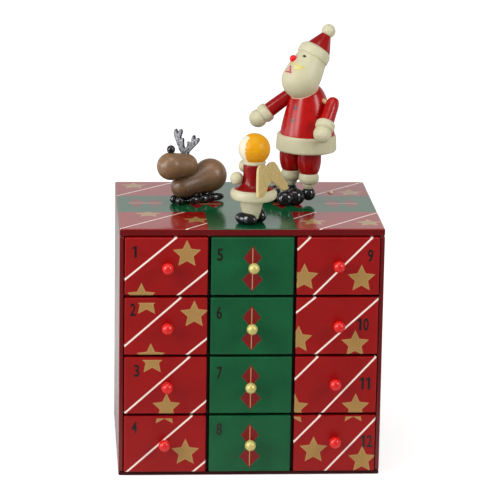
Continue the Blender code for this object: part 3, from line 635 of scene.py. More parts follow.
def wood_paint(name, light, dark, stretch, roughness=0.6):
    """Bare wood: streaks of noise drawn out along the grain, with fine pores."""
    paint = Paint(name)
    streaks = paint.noise(900, 4.0, 0.6, stretch, 0.4)
    pores = paint.noise(2700, 2.0, 0.5, stretch)
    share = ((streaks - 0.32) * 2.4).clamped() * 0.85 + (pores - 0.5) * 0.3
    colour = paint.mix(light, dark, share.clamped())
    return paint.finish(colour, roughness + (pores - 0.5) * 0.2, pores + streaks * 0.6,
                        0.25), "bare_wood"


# ---- Case ----

def evaluated(thing):
    """The mesh that an object has once its letters or modifiers are worked out."""
    bpy.context.view_layer.update()
    graph = bpy.context.evaluated_depsgraph_get()
    return bpy.data.meshes.new_from_object(thing.evaluated_get(graph))


def cut(thing, tools):
    """Takes the tools out of a piece and keeps the result as its mesh."""
    for tool in tools:
        change = thing.modifiers.new("cut", "BOOLEAN")
        change.operation = "DIFFERENCE"
        change.solver = "EXACT"
        change.object = tool
    mesh = evaluated(thing)
    thing.modifiers.clear()
    old = thing.data
    thing.data = mesh
    bpy.data.meshes.remove(old)
    mesh.name = thing.name
    for tool in tools:
        bpy.data.objects.remove(tool, do_unlink=True)
    shade(mesh)


# A chip of wood beside a hole in the top, and both holes: place, radius and depth
CHIP_PLACE = (0.0698, 0.0404, CASE_HEIGHT)
CHIP_LEAN = (0.15, -0.1, 1)
OPEN_HOLES = ((0.0685, 0.043, 0.0024, 0.004), (-0.0344, -0.0486, 0.0013, 0.003))


def build_case():
    half_width, half_depth = CASE_WIDTH / 2, CASE_DEPTH / 2
    top_low = CASE_HEIGHT - TOP_THICKNESS
    paint, colour, rough, peel = case_paint(
        "wrap_top", ((1, 0, 0), (0, 1, 0)), TOP_CORNERS, *TOP_DIAMONDS,
        (-BAND_HALF_WIDTH, BAND_HALF_WIDTH), SIDE_BAND)
    height = paint.along((0, 0, 1000)) - CASE_HEIGHT * 1000
    rim = paint.mix(EDGE_RED, (92, 1, 4), paint.noise(60, 2.0))
    colour = paint.mix(colour, rim, paint.below(height + 0.5, 0.25))
    for x, y, radius, depth in OPEN_HOLES:
        inside = paint.distance((x, y, CASE_HEIGHT)) - radius - 0.0004
        inside = paint.below(inside * 1000, 0.3) * paint.below(height + 0.12, 0.1)
        colour = paint.mix(colour, DOWEL_WOOD, inside)
    # The bottom panel is painted a darker red than the other edges: painted shade along the bottom
    # of the case.
    bottom_shade_paint = plain_paint("case_red", BOTTOM_SHADE_RED, (50, 0, 2), 0.4, 0.0, specular=0.2)
    top = put("case_top", rounded_box((-half_width, -half_depth, top_low),
                                      (half_width, half_depth, CASE_HEIGHT), CASE_EDGE),
              (paint.finish(colour, rough + 0.04, peel, 0.03), "red_paint"), "case", ["top_panel"])
    cut(top, [made("hole", turned([(0, -depth), (radius, -depth), (radius, 0.001), (0, 0.001)],
                                  (x, y, CASE_HEIGHT), around=32))
              for x, y, radius, depth in OPEN_HOLES])
    chip = spool(((1.9, 0), (1.8, 0.6), (1.2, 1.3), (0.4, 1.7)), CHIP_PLACE, CHIP_LEAN, 28)
    chip_wood = wood_paint("chip_wood", (236, 214, 184), DOWEL_WOOD, (1, 1, 0.3))
    put("case_chip", chip, chip_wood, "case")
    put("case_bottom", rounded_box((-half_width, -half_depth, 0),
                                   (half_width, half_depth, BOTTOM_THICKNESS), CASE_EDGE),
        bottom_shade_paint, "case", ["bottom_panel"])

    for name, side in (("left_side_panel", -1), ("right_side_panel", 1)):
        paint, colour, rough, peel = case_paint(
            "wrap_" + name, ((0, side, 0), (0, 0, 1)), SIDE_CORNERS,
            [(side * 2, height) for height in SIDE_DIAMONDS], (),
            sorted(side * edge for edge in SIDE_BAND), (CASE_HEIGHT / 2 / MM,) * 2)
        inward = half_width * 1000 - paint.along((side * 1000, 0, 0))
        rim = abs(paint.along((0, 1000, 0))) - half_depth * 1000 + 1.0
        plain = paint.below(0.5 - inward, 0.3).most(paint.below(0.0 - rim, 0.3))
        colour = paint.mix(colour, EDGE_RED, plain)
        near, far = sorted((side * half_width, side * (half_width - SIDE_THICKNESS)))
        put("case_" + name, rounded_box((near, -half_depth, BOTTOM_THICKNESS + JOINT_GAP),
                                        (far, half_depth, top_low - JOINT_GAP), CASE_EDGE * 0.8),
            (paint.finish(colour, rough + 0.08, peel, 0.03, Coat_Weight=0.3, Coat_Roughness=0.06),
             "red_paint"), "case", [name])

    for name in ("front_grid", "back_grid", "centre_board"):
        paint = Paint(name + "_wood")
        streaks = paint.noise(500, 4.0, 0.6, (0.15, 0.05, 1.0), 0.4)
        wood = paint.mix(TRAY_WOOD, TRAY_WOOD_DARK, streaks)
        # Near-black within 11 mm of the outer faces: painted shade for the dark gaps between the
        # drawers; deeper in, bare wood.
        outer = abs(paint.along((0, 1000, 0))) - (half_depth * 1000 - 11)
        colour = paint.mix(wood, GAP_SHADE_DARK, paint.below(0.0 - outer, 2.0))
        finish = paint.finish(colour, 0.65, streaks, 0.2)
        node = frame["nodes"][name]
        node.data.materials.clear()
        node.data.materials.append(finish)
        for slot in node.material_slots:
            slot.material = finish


# ---- Drawers ----

def about_turn(shape):
    """The same shape turned half round the upright axis."""
    return shape[0] * (-1, -1, 1), shape[1]


# Outline of a 1 that is one unit high
ONE = ((0.17, 0), (0.36, 0), (0.36, 1), (0.22, 1), (0, 0.84), (0, 0.68), (0.17, 0.79))
DIGIT_WIDTH = 0.44
DIGIT_GAP = 0.13


def digit_shape(digit):
    """Points and faces of one digit that is one unit high with its left foot at the
    origin, thin along Z: the letter's own outline, narrowed, or a plain one for a 1."""
    if digit == "1":
        outline = np.array([(x, y, 0.0) for x, y in ONE])
        count = len(outline)
        points = np.vstack([outline - (0, 0, 0.002), outline + (0, 0, 0.002)])
        return points, [tuple(range(count))[::-1], tuple(range(count, 2 * count)),
                        *grid_faces(2, count, True).tolist()]
    curve = bpy.data.curves.new("digit", "FONT")
    curve.body = digit
    curve.size = 0.01
    curve.extrude = 0.00002
    curve.offset = 0.0002
    curve.resolution_u = 4
    source = linked("digit", curve)
    mesh = evaluated(source)
    bpy.data.objects.remove(source, do_unlink=True)
    points = np.zeros(len(mesh.vertices) * 3)
    mesh.vertices.foreach_get("co", points)
    points = points.reshape(-1, 3)
    faces = [tuple(face.vertices) for face in mesh.polygons]
    bpy.data.meshes.remove(mesh)
    low, high = points.min(0), points.max(0)
    points = (points - (low[0], low[1], 0)) / (high[1] - low[1])
    points[:, 0] *= DIGIT_WIDTH / points[:, 0].max()
    return points, faces


def numeral(text, middle, height, right, origin):
    """A painted number: its digits side by side, laid on the face of a drawer."""
    places, faces, reach = [], [], 0.0
    for digit in text:
        points, corners = digit_shape(digit)
        start = sum(map(len, places))
        faces += [tuple(corner + start for corner in face) for face in corners]
        places.append(points + (reach, 0, 0))
        reach += points[:, 0].max() + DIGIT_GAP
    points = (np.vstack(places) - ((reach - DIGIT_GAP) / 2, 0.5, 0)) * height * MM
    points += (middle[0] * MM, middle[1] * MM, 0.00001)
    axes = np.array((right, (0, 0, 1), np.cross(right, (0, 0, 1))), float)
    return origin + points @ axes, np.empty((0, 4), int), faces


def tray_shape(middle, z):
    """A hollow tray behind a front board: a box with a smaller one cut out of its top, as
    one surface of plain walls."""
    half_width = FRONT_WIDTH / 2 - TRAY_SIDE_INSET
    low = z - FRONT_HEIGHT / 2 + TRAY_BOTTOM_INSET
    high = z + FRONT_HEIGHT / 2 - TRAY_TOP_DROP
    near, far = FRONT_Y + FRONT_THICKNESS - 0.0002, TRAY_END_Y
    rim = []
    for inset, depth_in, level in ((0, 0, low), (0, 0, high), (TRAY_WALL, TRAY_WALL, high),
                                   (TRAY_WALL, TRAY_WALL, low + TRAY_FLOOR)):
        x0, x1 = middle - half_width + inset, middle + half_width - inset
        y0, y1 = near + depth_in, far - depth_in
        rim.append([(x0, y0, level), (x1, y0, level), (x1, y1, level), (x0, y1, level)])
    points = np.array(rim).reshape(-1, 3)
    faces = np.vstack([grid_faces(4, 4, True), [(3, 2, 1, 0)], [(12, 13, 14, 15)]])
    return points, faces


def knob_shape(place, radius):
    """Stem and ball: a short flared stem that meets the ball, whose front stays where
    the frame's knobs end."""
    meet = math.degrees(math.asin(KNOB_STEM / radius))
    centre = KNOB_CENTRE + KNOB_BALL - radius
    stem = smooth([(KNOB_STEM * 1.15, 0.0001), (KNOB_STEM * 0.98, 0.001), (KNOB_STEM * 0.95, 0.002),
                   (KNOB_STEM, centre - radius * math.cos(math.radians(meet)))])
    profile = np.vstack([[(0.0, 0.0001)], stem, ball(radius, centre, meet, 180, 24)[1:]])
    return turned(profile, place, (0, -1, 0), 40)


def build_drawers():
    ink = plain_paint("ink", INK, (26, 10, 10), 0.4, 0.1, slot="black_paint")
    knob_red = plain_paint("knob_red", KNOB_RED, (206, 8, 8), 0.3, 0.3, 0.2)
    brass = Paint("knob_gold")
    wear = brass.noise(500)
    knob_gold = brass.finish(brass.mix(BRASS, (196, 184, 104), wear), 0.34 + wear * 0.12, wear,
                             0.03, Metallic=0.35), "gold_paint"
    tray_wood = wood_paint("tray_wood", TRAY_WOOD, TRAY_WOOD_DARK, (0.35, 0.04, 1.0), 0.62)
    for number in range(1, 2 * COLUMNS * ROWS + 1):
        behind = number > COLUMNS * ROWS
        model = (number - 1) % (COLUMNS * ROWS)
        column, row = divmod(model, ROWS)
        x = (column - (COLUMNS - 1) / 2) * (CELL_WIDTH + DIVIDER)
        z = BOTTOM_THICKNESS + CELL_HEIGHT / 2 + (ROWS - 1 - row) * (CELL_HEIGHT + SHELF)
        body = f"drawer_{number:02d}"
        front = rounded_box((x - FRONT_WIDTH / 2, FRONT_Y, z - FRONT_HEIGHT / 2),
                            (x + FRONT_WIDTH / 2, FRONT_Y + FRONT_THICKNESS, z + FRONT_HEIGHT / 2),
                            DRAWER_EDGE)
        tray = tray_shape(x, z)
        shift = (0.0, 0.0) if behind else KNOB_SHIFTS[number]
        knob = knob_shape((x + shift[0], FRONT_Y, z + shift[1]),
                          KNOB_BALL if column == 1 else RED_KNOB_BALL)
        origin, right = (x, FRONT_Y, z), (1, 0, 0)
        if behind:
            front, tray, knob = about_turn(front), about_turn(tray), about_turn(knob)
            origin, right = (-x, -FRONT_Y, z), (-1, 0, 0)
        slot = "green_paint" if column == 1 else "red_paint"
        put(body + "_front", front, (drawer_paint(number, origin, right), slot), body, [body])
        put(body + "_tray", tray, tray_wood, body, [body])
        put(body + "_knob", knob, knob_gold if column == 1 else knob_red, body,
            [body if behind else f"knob_{number:02d}"])
        *middle, height = NUMERALS[model + 1]
        put(body + "_number", numeral(str(number), middle, height, right, origin), ink, body)


# ---- Santa ----

def on_top(x, y, height):
    return np.array((x, y, CASE_HEIGHT + height))


HEAD_PLACE = on_top(0.0414, 0.0084, 0.0971)
HEAD_AXIS = unit((0.5, 0.308, 0.809))
FACE = unit((-0.77, -0.264, 0.581))
FACE_SIDE = unit(np.cross(FACE, HEAD_AXIS))
HEAD_RADIUS = 0.0148
HEAD_TOP = 0.0235
TORSO_PLACE = on_top(0.0479, 0.0127, 0.0448)
BAND_PLACE = on_top(0.0472, 0.0127, 0.0475)
BAND_LEAN = (0.02, 0.0, 1.0)
# Middles of an arm's shoulder end and of its hand
SANTA_ARMS = (("right", on_top(0.0355, 0.0187, 0.0844), on_top(0.0097, 0.0187, 0.0646)),
              ("left", on_top(0.0657, -0.0005, 0.0799), on_top(0.0571, -0.014, 0.059)))
# Where a leg stands
SANTA_LEGS = (("right", 0.0362, 0.0184), ("left", 0.049, 0.0046))
BUTTONS = ((0.037, 0.0008, 0.2705), (0.035, -0.0009, 0.2609))
DOWEL_SPOT = (0.0594, 0.0037, 0.2752)
BOOT_AXIS = unit((-0.93, -0.368, 0.0))
HEEL_RADIUS = 0.0055
HEEL_RISE = 0.0078
# Beads of a boot before the heel: forward from the leg, radius, length over width
BOOT_BEADS = ((0.0114, 0.0068, 1.12), (0.0198, 0.0061, 1.16))


def face_paint():
    """Cream paint with two small eyes, an open mouth and a moustache of thin yellow
    strokes. Places are millimetres to the far side of the face and up it, from the middle
    of the head's ball."""
    paint = Paint("santa_face")
    here = paint.away(HEAD_PLACE)
    up = paint.along(HEAD_AXIS * 1000, here)
    side = paint.along(FACE_SIDE * 1000, here)
    front = paint.below(0.0 - paint.along(FACE * 1000, here), 0.5)
    leaf = hull_reach(side, up, ((-3.2, 7.2), (-11.3, 7.0), (-9.8, 3.7), (-7.2, 1.4)))
    strokes = nearest([stroke_reach(side, up, start, end) for start, end in (
        ((-3.2, 7.1), (-8.1, 5.7)), ((-8.1, 5.7), (-11.3, 7.0)), ((-7.2, 1.5), (-9.8, 3.9)),
        ((-9.8, 3.9), (-11.3, 6.9)), ((0.4, 6.5), (6.1, 4.8)), ((6.1, 4.8), (9.6, 6.4)))])
    eye = (((abs(side) - 7.15) / 1.2) ** 2 + ((up - 15.3) / 1.0) ** 2) ** 0.5 - 1.0
    mouth = hull_reach(side, up, ((-1.9, 4.7), (0.4, -2.0), (-7.0, -1.5)))
    tongue = stroke_reach(side, up, (-3.4, 1.2), (-3.6, -1.0)) - 0.5
    colour = paint.mix(CREAM, CREAM_SHADE, (paint.noise(70) * 1.5 - 0.4).clamped())
    colour = paint.layered(
        colour, ((226, 216, 150), leaf, 0.6, front * 0.6),
        ((212, 190, 50), strokes - 0.34, 0.4, front * 0.9),
        ((34, 24, 6), eye, 0.3, front), ((232, 176, 168), mouth - 0.7, 0.8, front),
        ((128, 14, 16), mouth, 0.3, front), ((240, 196, 190), mouth + 0.8, 0.3, front),
        ((176, 16, 20), tongue, 0.4, front))
    return paint.finish(colour, 0.42, paint.noise(300), 0.05,
                        Specular_IOR_Level=0.35), "cream_paint"


def hull_reach(x, y, corners):
    """Distance outside a shape of straight sides that bulges nowhere inward: the greatest
    of the distances beyond its sides, whose corners run clockwise or against the clock."""
    sides = [(*start, *end) for start, end in zip(corners, corners[1:] + corners[:1])]
    area = sum(x0 * y1 - x1 * y0 for x0, y0, x1, y1 in sides)
    return reduce(Socket.most, [beyond(x, y, ends, area) for ends in sides])


def stroke_reach(x, y, start, end):
    """Distance from a straight brush stroke: how far along the stroke a point lies is held
    between its ends, and the rest is the distance."""
    run_x, run_y = end[0] - start[0], end[1] - start[1]
    length = run_x ** 2 + run_y ** 2
    share = (((x - start[0]) * run_x + (y - start[1]) * run_y) / length).clamped()
    gap_x = x - start[0] - share * run_x
    gap_y = y - start[1] - share * run_y
    return (gap_x * gap_x + gap_y * gap_y) ** 0.5


def coat_paint():
    """Glossy red, brushed along the coat, with two grey buttons, a pale line round the
    neck and a spot beside the dowel of the left arm where the paint is missing."""
    paint = Paint("santa_coat")
    drift = paint.noise(60)
    brushed = paint.noise(420, 3.0, 0.5, (1, 1, 0.08))
    colour = paint.mix(COAT_RED, COAT_DEEP, (drift * 1.5 - 0.4 + (brushed - 0.5) * 1.3).clamped())
    bare = paint.distance(DOWEL_SPOT) * 1000 - 2.1 + (brushed - 0.5) * 1.5
    buttons = [paint.distance(place) * 1000 - 1.7 for place in BUTTONS]
    colour = paint.layered(
        colour, *[((70, 62, 68), reach, 0.5, 0.9) for reach in buttons],
        ((216, 176, 148), paint.distance(HEAD_PLACE) * 1000 - 15.6, 0.3, 1.0),
        ((228, 150, 134), bare, 0.6, 0.9))
    return paint.finish(colour, 0.24, brushed, 0.04, Specular_IOR_Level=0.4), "red_paint"


def standing(shape):
    """A shape whose underside is flat where it stands on the top."""
    points, faces = shape
    points[:, 2] = np.maximum(points[:, 2], CASE_HEIGHT + 0.0001)
    return points, faces


def bent(shape):
    """The head leans a little toward the face above the middle of its ball: each point
    moves left by 1.2 mm times the square of its share of the way up to the brim."""
    points, faces = shape
    share = np.clip((points - HEAD_PLACE) @ HEAD_AXIS / HEAD_TOP, 0, 1)
    points[:, 0] -= 0.0012 * share ** 2
    return points, faces


def build_santa(cream, black):
    coat = coat_paint()
    trousers = plain_paint("trouser_red", TROUSER_RED, TROUSER_DEEP, 0.22, 0.0, 0.06, 0.4)
    nose_red = plain_paint("nose_red", NOSE_RED, (214, 12, 16), 0.3, 0.0, 0.1, 0.35)
    dowel_wood = wood_paint("dowel_wood", DOWEL_WOOD, (186, 144, 96), (1, 1, 0.2))

    skull = ball(HEAD_RADIUS, 0, 0, 100, 24)
    crown = smooth([skull[-1], (0.0142, 0.007), (0.0133, 0.0125), (0.0123, 0.018),
                    (0.0114, HEAD_TOP)])
    figure("santa_head_bead", "santa_head", face_paint(), bent(turned(
        np.vstack([skull, crown[1:], [(0, HEAD_TOP)]]), HEAD_PLACE, HEAD_AXIS, 96)))
    figure("santa_nose", "santa_head", nose_red, turned(
        ball(0.0028, steps=18), HEAD_PLACE + HEAD_AXIS * 0.0102 + FACE * 0.0146, FACE, 36))
    figure("santa_hat_brim", "santa_hat", cream, bent(spool(
        ((10.8, 19.6), (12.3, 19.7), (12.9, 21.0), (12.8, 24.6), (11.9, 27.2), (10.0, 28.7)),
        HEAD_PLACE, HEAD_AXIS, 96)))
    figure("santa_hat_cone", "santa_hat", trousers, spool(
        ((10.1, 27.8), (8.3, 32.0), (6.2, 36.2), (4.2, 40.2)), HEAD_PLACE, HEAD_AXIS))
    figure("santa_hat_pompom", "santa_hat", cream, turned(
        ball(0.0054, 0.0443), HEAD_PLACE, HEAD_AXIS, 48))
    figure("santa_coat", "santa_torso", coat, spool(
        ((17.9, 0), (21.1, 6.5), (20.6, 13.5), (18.6, 23.0), (16.1, 32.0), (14.1, 38.0),
         (11.3, 43.5), (7.0, 47.5), (0, 49.0)), TORSO_PLACE, around=96))
    figure("santa_coat_hem", "santa_coat_band", cream, turned(
        drum(0.0236, 0.0231, -0.0065, 0.0065, 0.0018), BAND_PLACE, BAND_LEAN, 96))

    for name, shoulder, hand in SANTA_ARMS:
        start, node = f"santa_{name}_", f"santa_{name}_arm"
        run = shoulder - hand
        length = float(np.linalg.norm(run)) / MM
        figure(start + "hand", node, cream, turned(ball(0.0071), hand, run, 56))
        cuff = drum(0.007, 0.007, 0.003, 0.0112, 0.0026)
        cuff[:, 0] *= 1 + 0.09 * np.sin(np.pi * np.clip((cuff[:, 1] - 0.003) / 0.0082, 0, 1))
        figure(start + "cuff", node, cream, turned(cuff, hand, run, 56))
        # The right sleeve, behind the body, is painted the darker trouser red rather than the
        # coat's: painted shade.
        figure(start + "sleeve", node, trousers if name == "right" else coat, spool(
            ((5.8, 10.5), (5.7, length * 0.5), (5.5, length * 0.75), (5.1, length),
             (3.6, length + 4.0), (0, length + 5.6)), hand, run, 56))
        inward = DOWEL_SPOT if name == "left" else (*TORSO_PLACE[:2], shoulder[2] - 0.012)
        figure(start + "dowel", node, dowel_wood, turned(
            drum(0.0019, 0.0019, 0, 0.01, 0.0002), shoulder, np.array(inward) - shoulder, 24))

    for name, x, y in SANTA_LEGS:
        start, node, boot = f"santa_{name}_", f"santa_{name}_leg", f"santa_{name}_boot"
        for part, finish, around, profile in (
                ("trouser", trousers, 72, ((4.6, 23.2), (6.6, 24.1), (8.1, 26.8), (9.2, 32.2),
                                           (9.3, 37.0), (8.8, 43.0))),
                ("leg_cuff", cream, 64, ((4.4, 15.6), (6.2, 16.2), (7.6, 18.4), (7.9, 20.7),
                                         (7.2, 23.6), (5.8, 24.4))),
                ("ankle", cream, 48, ((3.0, 9.5), (3.4, 11.8), (4.3, 13.6), (4.8, 14.8),
                                      (4.7, 17.0)))):
            figure(start + part, node, finish, spool(profile, on_top(x, y, 0), around=around))
        figure(boot + "_toe", boot, black, standing(joined(*[
            turned(ball(radius) * (1, stretch), on_top(x, y, radius - 0.0006) + BOOT_AXIS * forward,
                   BOOT_AXIS, 56) for forward, radius, stretch in BOOT_BEADS])))
        figure(boot + "_heel", boot, black, turned(
            ball(HEEL_RADIUS), on_top(x, y, HEEL_RISE), around=48))


# ---- Angel ----

ANGEL = on_top(0.0015, -0.061, 0)
ANGEL_BACK = unit((0.737, -0.676, 0.0))
ANGEL_FRONT = -ANGEL_BACK
ANGEL_SIDE = np.array((-ANGEL_FRONT[1], ANGEL_FRONT[0], 0.0))
ANGEL_HEAD = ANGEL + (0, 0, 0.0573)
# How far a hand is before the body's axis, toward the near side, and above the top
ANGEL_HANDS = (("near", 0.0089, 0.0098, 0.035), ("far", 0.01, -0.0016, 0.0425))
WING_LEAN = math.radians(19)
# Across and up from the top of the fold between the wings, in millimetres
WING = ((0, 0), (1.95, 1.5), (4.6, 2.4), (7.5, 2.5), (10.2, 1.4), (12.0, -0.9), (14.2, -5.5),
        (16.4, -10.5), (18.2, -15.0), (19.4, -18.6), (19.4, -20.3), (17.6, -21.2), (14.2, -21.2),
        (11.6, -20.2), (9.0, -17.9), (6.3, -15.3), (3.8, -13.3), (0, -11.3))


def hair_paint():
    """Golden hair on the back of the head with a ragged edge against a pale face."""
    paint = Paint("angel_head_paint")
    here = paint.away(ANGEL_HEAD)
    front = paint.along(ANGEL_FRONT * 1000, here)
    up = paint.along((0, 0, 1000), here)
    side = paint.along(ANGEL_SIDE * 1000, here)
    locks = paint.noise(260, 2.0, 0.5, (1, 1, 2.5))
    teeth = up.maths("PINGPONG", up, 0.9)
    edge = front + 1.2 - teeth * 1.3 - (locks - 0.5) * 2.0
    share = paint.below(edge.least(10.2 - up), 0.5)
    hair = paint.mix(HAIR_GOLD, HAIR_DEEP, (locks * 1.4 - 0.5 - up * 0.035).clamped())
    eye = ((abs(side) - 3.6) ** 2 + (up - 0.8) ** 2) ** 0.5 - 0.8
    mouth = ((side / 1.6) ** 2 + (up + 3.6) ** 2) ** 0.5 - 0.7
    colour = paint.layered(
        paint.mix(SKIN, hair, share), ((30, 22, 14), eye.most(5.0 - front), 0.3, 1.0),
        ((190, 40, 40), mouth.most(5.0 - front), 0.3, 1.0))
    return paint.finish(colour, 0.34, locks, 0.06, Specular_IOR_Level=0.25), "hair_paint"


def wing_paint(outward):
    """Pale plywood, lighter on the cut edges, whose sides don't face outward."""
    paint = Paint("wing_wood")
    streaks = paint.noise(800, 4.0, 0.6, (1, 1, 0.25), 0.5)
    colour = paint.mix(BARE_WOOD, BARE_WOOD_DARK, ((streaks - 0.35) * 2.2).clamped())
    face = paint.along(outward, paint.normal())
    colour = paint.mix(colour, (222, 206, 160), ((0.8 - abs(face)) * 4.0).clamped() * 0.5)
    return paint.finish(colour, 0.62, streaks, 0.3, Specular_IOR_Level=0.3), "bare_wood"


def build_angel(cream, black):
    coat = plain_paint("angel_red", COAT_DEEP, TROUSER_DEEP, 0.24, 0.0, 0.06, 0.35)
    figure("angel_head_bead", "angel_head", hair_paint(), turned(
        ball(0.012), ANGEL_HEAD, around=80))
    legs_place = ANGEL - (0.0016, 0, 0)
    figure("angel_legs", "angel_body", cream, joined(
        spool(((5.8, 4.0), (7.4, 10.0), (8.9, 15.8), (9.2, 17.6)), legs_place),
        spool(((9.4, 16.8), (10.2, 17.3), (10.4, 18.4), (9.8, 19.4)), legs_place)))
    for name, finish, around, profile in (
            ("skirt_rim", cream, 96, ((10.0, 18.4), (14.0, 18.4), (16.6, 19.6), (17.6, 21.8),
                                      (17.4, 24.6), (16.0, 26.4), (14.2, 27.2))),
            ("dress", coat, 80, ((15.8, 25.6), (14.4, 27.4), (11.4, 28.8), (9.2, 31.0), (8.4, 35.0),
                                 (8.1, 40.0), (8.2, 44.0), (7.8, 47.2))),
            ("collar", cream, 72, ((7.0, 45.6), (8.4, 46.0), (8.8, 47.2), (8.2, 48.5),
                                   (6.2, 49.2)))):
        figure("angel_" + name, "angel_body", finish, spool(profile, ANGEL, around=around))
    for name, forward, aside, height in ANGEL_HANDS:
        hand = ANGEL + (0, 0, height) + ANGEL_FRONT * forward + ANGEL_SIDE * aside
        figure(f"angel_{name}_hand", "angel_body", cream, turned(ball(0.005), hand, around=48))

    rise = np.array((0, 0, math.cos(WING_LEAN))) - ANGEL_BACK * math.sin(WING_LEAN)
    outward = np.array((0, 0, math.sin(WING_LEAN))) + ANGEL_BACK * math.cos(WING_LEAN)
    wood = wing_paint(outward)
    root = ANGEL + (0, 0, 0.045) + ANGEL_BACK * 0.0117 - ANGEL_SIDE * 0.0022 - outward * 0.0012
    curve = smooth(np.array(WING) * MM, 4)
    for name, sign, sweep, breadth in (("near", 1, 1.5, 1.0), ("far", -1, -8.5, 1.09)):
        sweep = math.radians(sweep)
        across = ANGEL_SIDE * sign * math.cos(sweep) + ANGEL_BACK * math.sin(sweep)
        figure(f"angel_{name}_wing", "angel_wings", wood,
               plate(curve * (breadth, 1.0), 0.0024, 0.0004, root, across, rise))
    for name, sign, width in (("near", 1, 0.0054), ("far", -1, 0.0064)):
        place = (ANGEL + (-0.0008, 0, width - 0.0014) + ANGEL_FRONT * 0.0015
                 + ANGEL_SIDE * sign * 0.0056)
        figure(f"angel_{name}_shoe", "angel_shoes", black,
               standing(turned(ball(1.0) * (width, 0.0095), place, ANGEL_FRONT, 56)))


# ---- Reindeer ----

RUMP = on_top(-0.0273, 0.0171, 0.0196)
CHEST = on_top(-0.0494, 0.0036, 0.0134)
MUZZLE = on_top(-0.0588, -0.0014, 0.0307)
SKULL = on_top(-0.0466, 0.0051, 0.0301)
MUZZLE_RADIUS = 0.0108
DEER_NOSE = 0.0033
# Beads of a hind foot: forward along the body, radius and half length
DEER_FEET = ((-0.0108, 0.0032, 0.0056), (-0.0018, 0.0034, 0.0062), (0.009, 0.0031, 0.0074))
ANTLER_TURN = math.radians(-27)
# Both antlers in one plate, across and up from the top of the skull, in millimetres
ANTLERS = ((-2.0, -2.6), (2.0, -2.6), (2.4, 0), (3.0, 1.6), (4.7, 3.5), (6.5, 5.5), (8.5, 7.6),
           (10.3, 9.7), (11.5, 11.8), (11.0, 12.8), (9.7, 12.9), (7.9, 12.2), (7.9, 14.0),
           (7.1, 15.0), (6.1, 14.4), (5.6, 12.7), (4.9, 10.0), (3.4, 8.8), (2.2, 9.5), (1.4, 8.9),
           (1.9, 7.6), (1.4, 5.8), (-0.2, 4.2), (-1.3, 5.2), (-1.8, 8.0), (-1.8, 11.0),
           (-2.6, 11.9), (-3.8, 11.2), (-4.2, 12.6), (-3.4, 15.2), (-3.1, 17.8), (-4.2, 18.6),
           (-5.4, 17.8), (-6.7, 15.3), (-7.4, 17.6), (-8.2, 18.5), (-9.3, 17.8), (-9.5, 15.0),
           (-8.8, 12.2), (-7.5, 9.1), (-6.3, 6.0), (-4.8, 2.8), (-3.1, 0))


def peanut(first, second, length, waist):
    """Profile of two balls joined by a soft waist, the first about the origin."""
    low, high = ball(first, 0, 0, 104, 26), ball(second, length, 97, 180, 22)
    middle = smooth([low[-2], low[-1], (waist, length * 0.55), high[0], high[1]], 10)
    return np.vstack([low[:-2], middle, high[2:]])


def deer_paint():
    """Varnished brown wood whose grain runs along the body, with painted shade near the crease
    between head and body and towards the bottom.
    """
    paint = Paint("deer_wood")
    streaks = paint.noise(420, 4.0, 0.6, (0.35, 0.6, 1.0), 0.8)
    blotch = paint.noise(70)
    pores = paint.noise(1300, 3.0, 0.6, (0.4, 0.6, 1.0))
    # Painted shade: darker near the crease between the head and the body, and more so the lower a
    # point lies below the muzzle.
    neck = (CHEST + SKULL) / 2 + (0.006, 0.003, -0.003)
    painted_shade = ((1.0 - paint.distance(neck) / 0.016).clamped() * 0.6
             + (MUZZLE[2] - 0.003 - paint.along((0, 0, 1))).clamped() * 24.0)
    share = (((streaks - 0.3) * 1.6).clamped() * 0.6 + (blotch - 0.4) * 0.5
             + (pores - 0.5) * 0.5 + painted_shade)
    colour = paint.mix(DEER_BROWN, DEER_DARK, share.clamped())
    return paint.finish(colour, 0.38 + (streaks - 0.5) * 0.2, streaks, 0.15,
                        Specular_IOR_Level=0.55, Coat_Weight=0.15,
                        Coat_Roughness=0.2), "brown_stain"


def antler_paint(facing):
    """Black paint, worn grey on the flat faces."""
    paint = Paint("antler_paint")
    worn = paint.noise(900, 3.0, 0.6)
    flatness = abs(paint.along(facing, paint.normal()))
    share = ((flatness - 0.9) * 12.0).clamped() * ((worn - 0.36) * 3.4).clamped()
    return paint.finish(paint.mix(BLACK, ANTLER_GREY, share), 0.4, worn, 0.1, Coat_Weight=0.15,
                        Coat_Roughness=0.1), "black_paint"


def build_reindeer(black):
    brown = deer_paint()
    run, head_run = CHEST - RUMP, SKULL - MUZZLE
    figure("reindeer_trunk", "reindeer_body", brown, turned(
        peanut(0.0131, 0.009, float(np.linalg.norm(run)), 0.0102), RUMP, run, 80))
    figure("reindeer_face", "reindeer_head", brown, turned(
        peanut(MUZZLE_RADIUS, 0.009, float(np.linalg.norm(head_run)), 0.0097), MUZZLE, head_run))
    nose = MUZZLE + (0, 0, MUZZLE_RADIUS + DEER_NOSE * 0.75)
    figure("reindeer_nose", "reindeer_head", black, turned(
        ball(DEER_NOSE, steps=18), nose, around=36))
    flat = unit((-run[0], -run[1], 0))
    side = np.array((-flat[1], flat[0], 0))
    for name, sign in (("near", -1), ("far", 1)):
        hind = on_top(RUMP[0], RUMP[1], 0.0033) + side * sign * 0.0065 - flat * 0.0075
        fore = on_top(CHEST[0], CHEST[1], 0.0033) + side * sign * 0.004 - flat * 0.005
        beads = [turned(ball(1.0) * (radius, length), hind + flat * place, flat, 40)
                 for place, radius, length in DEER_FEET]
        figure(f"reindeer_{name}_feet", "reindeer_body", black,
               standing(joined(*beads, turned(ball(0.0034), fore, around=40))))

    across = np.array((math.cos(ANTLER_TURN), math.sin(ANTLER_TURN), 0))
    outline = smooth(np.array([*ANTLERS, ANTLERS[0]]) * MM, 3)[:-1]
    figure("reindeer_antler_plate", "reindeer_antlers", antler_paint(np.cross(across, (0, 0, 1))),
           plate(outline, 0.0028, 0.0005, SKULL + (-0.0006, 0, 0.0092), across, (0, 0, 1), 2,
                 0.0003))


# ---- Studio ----

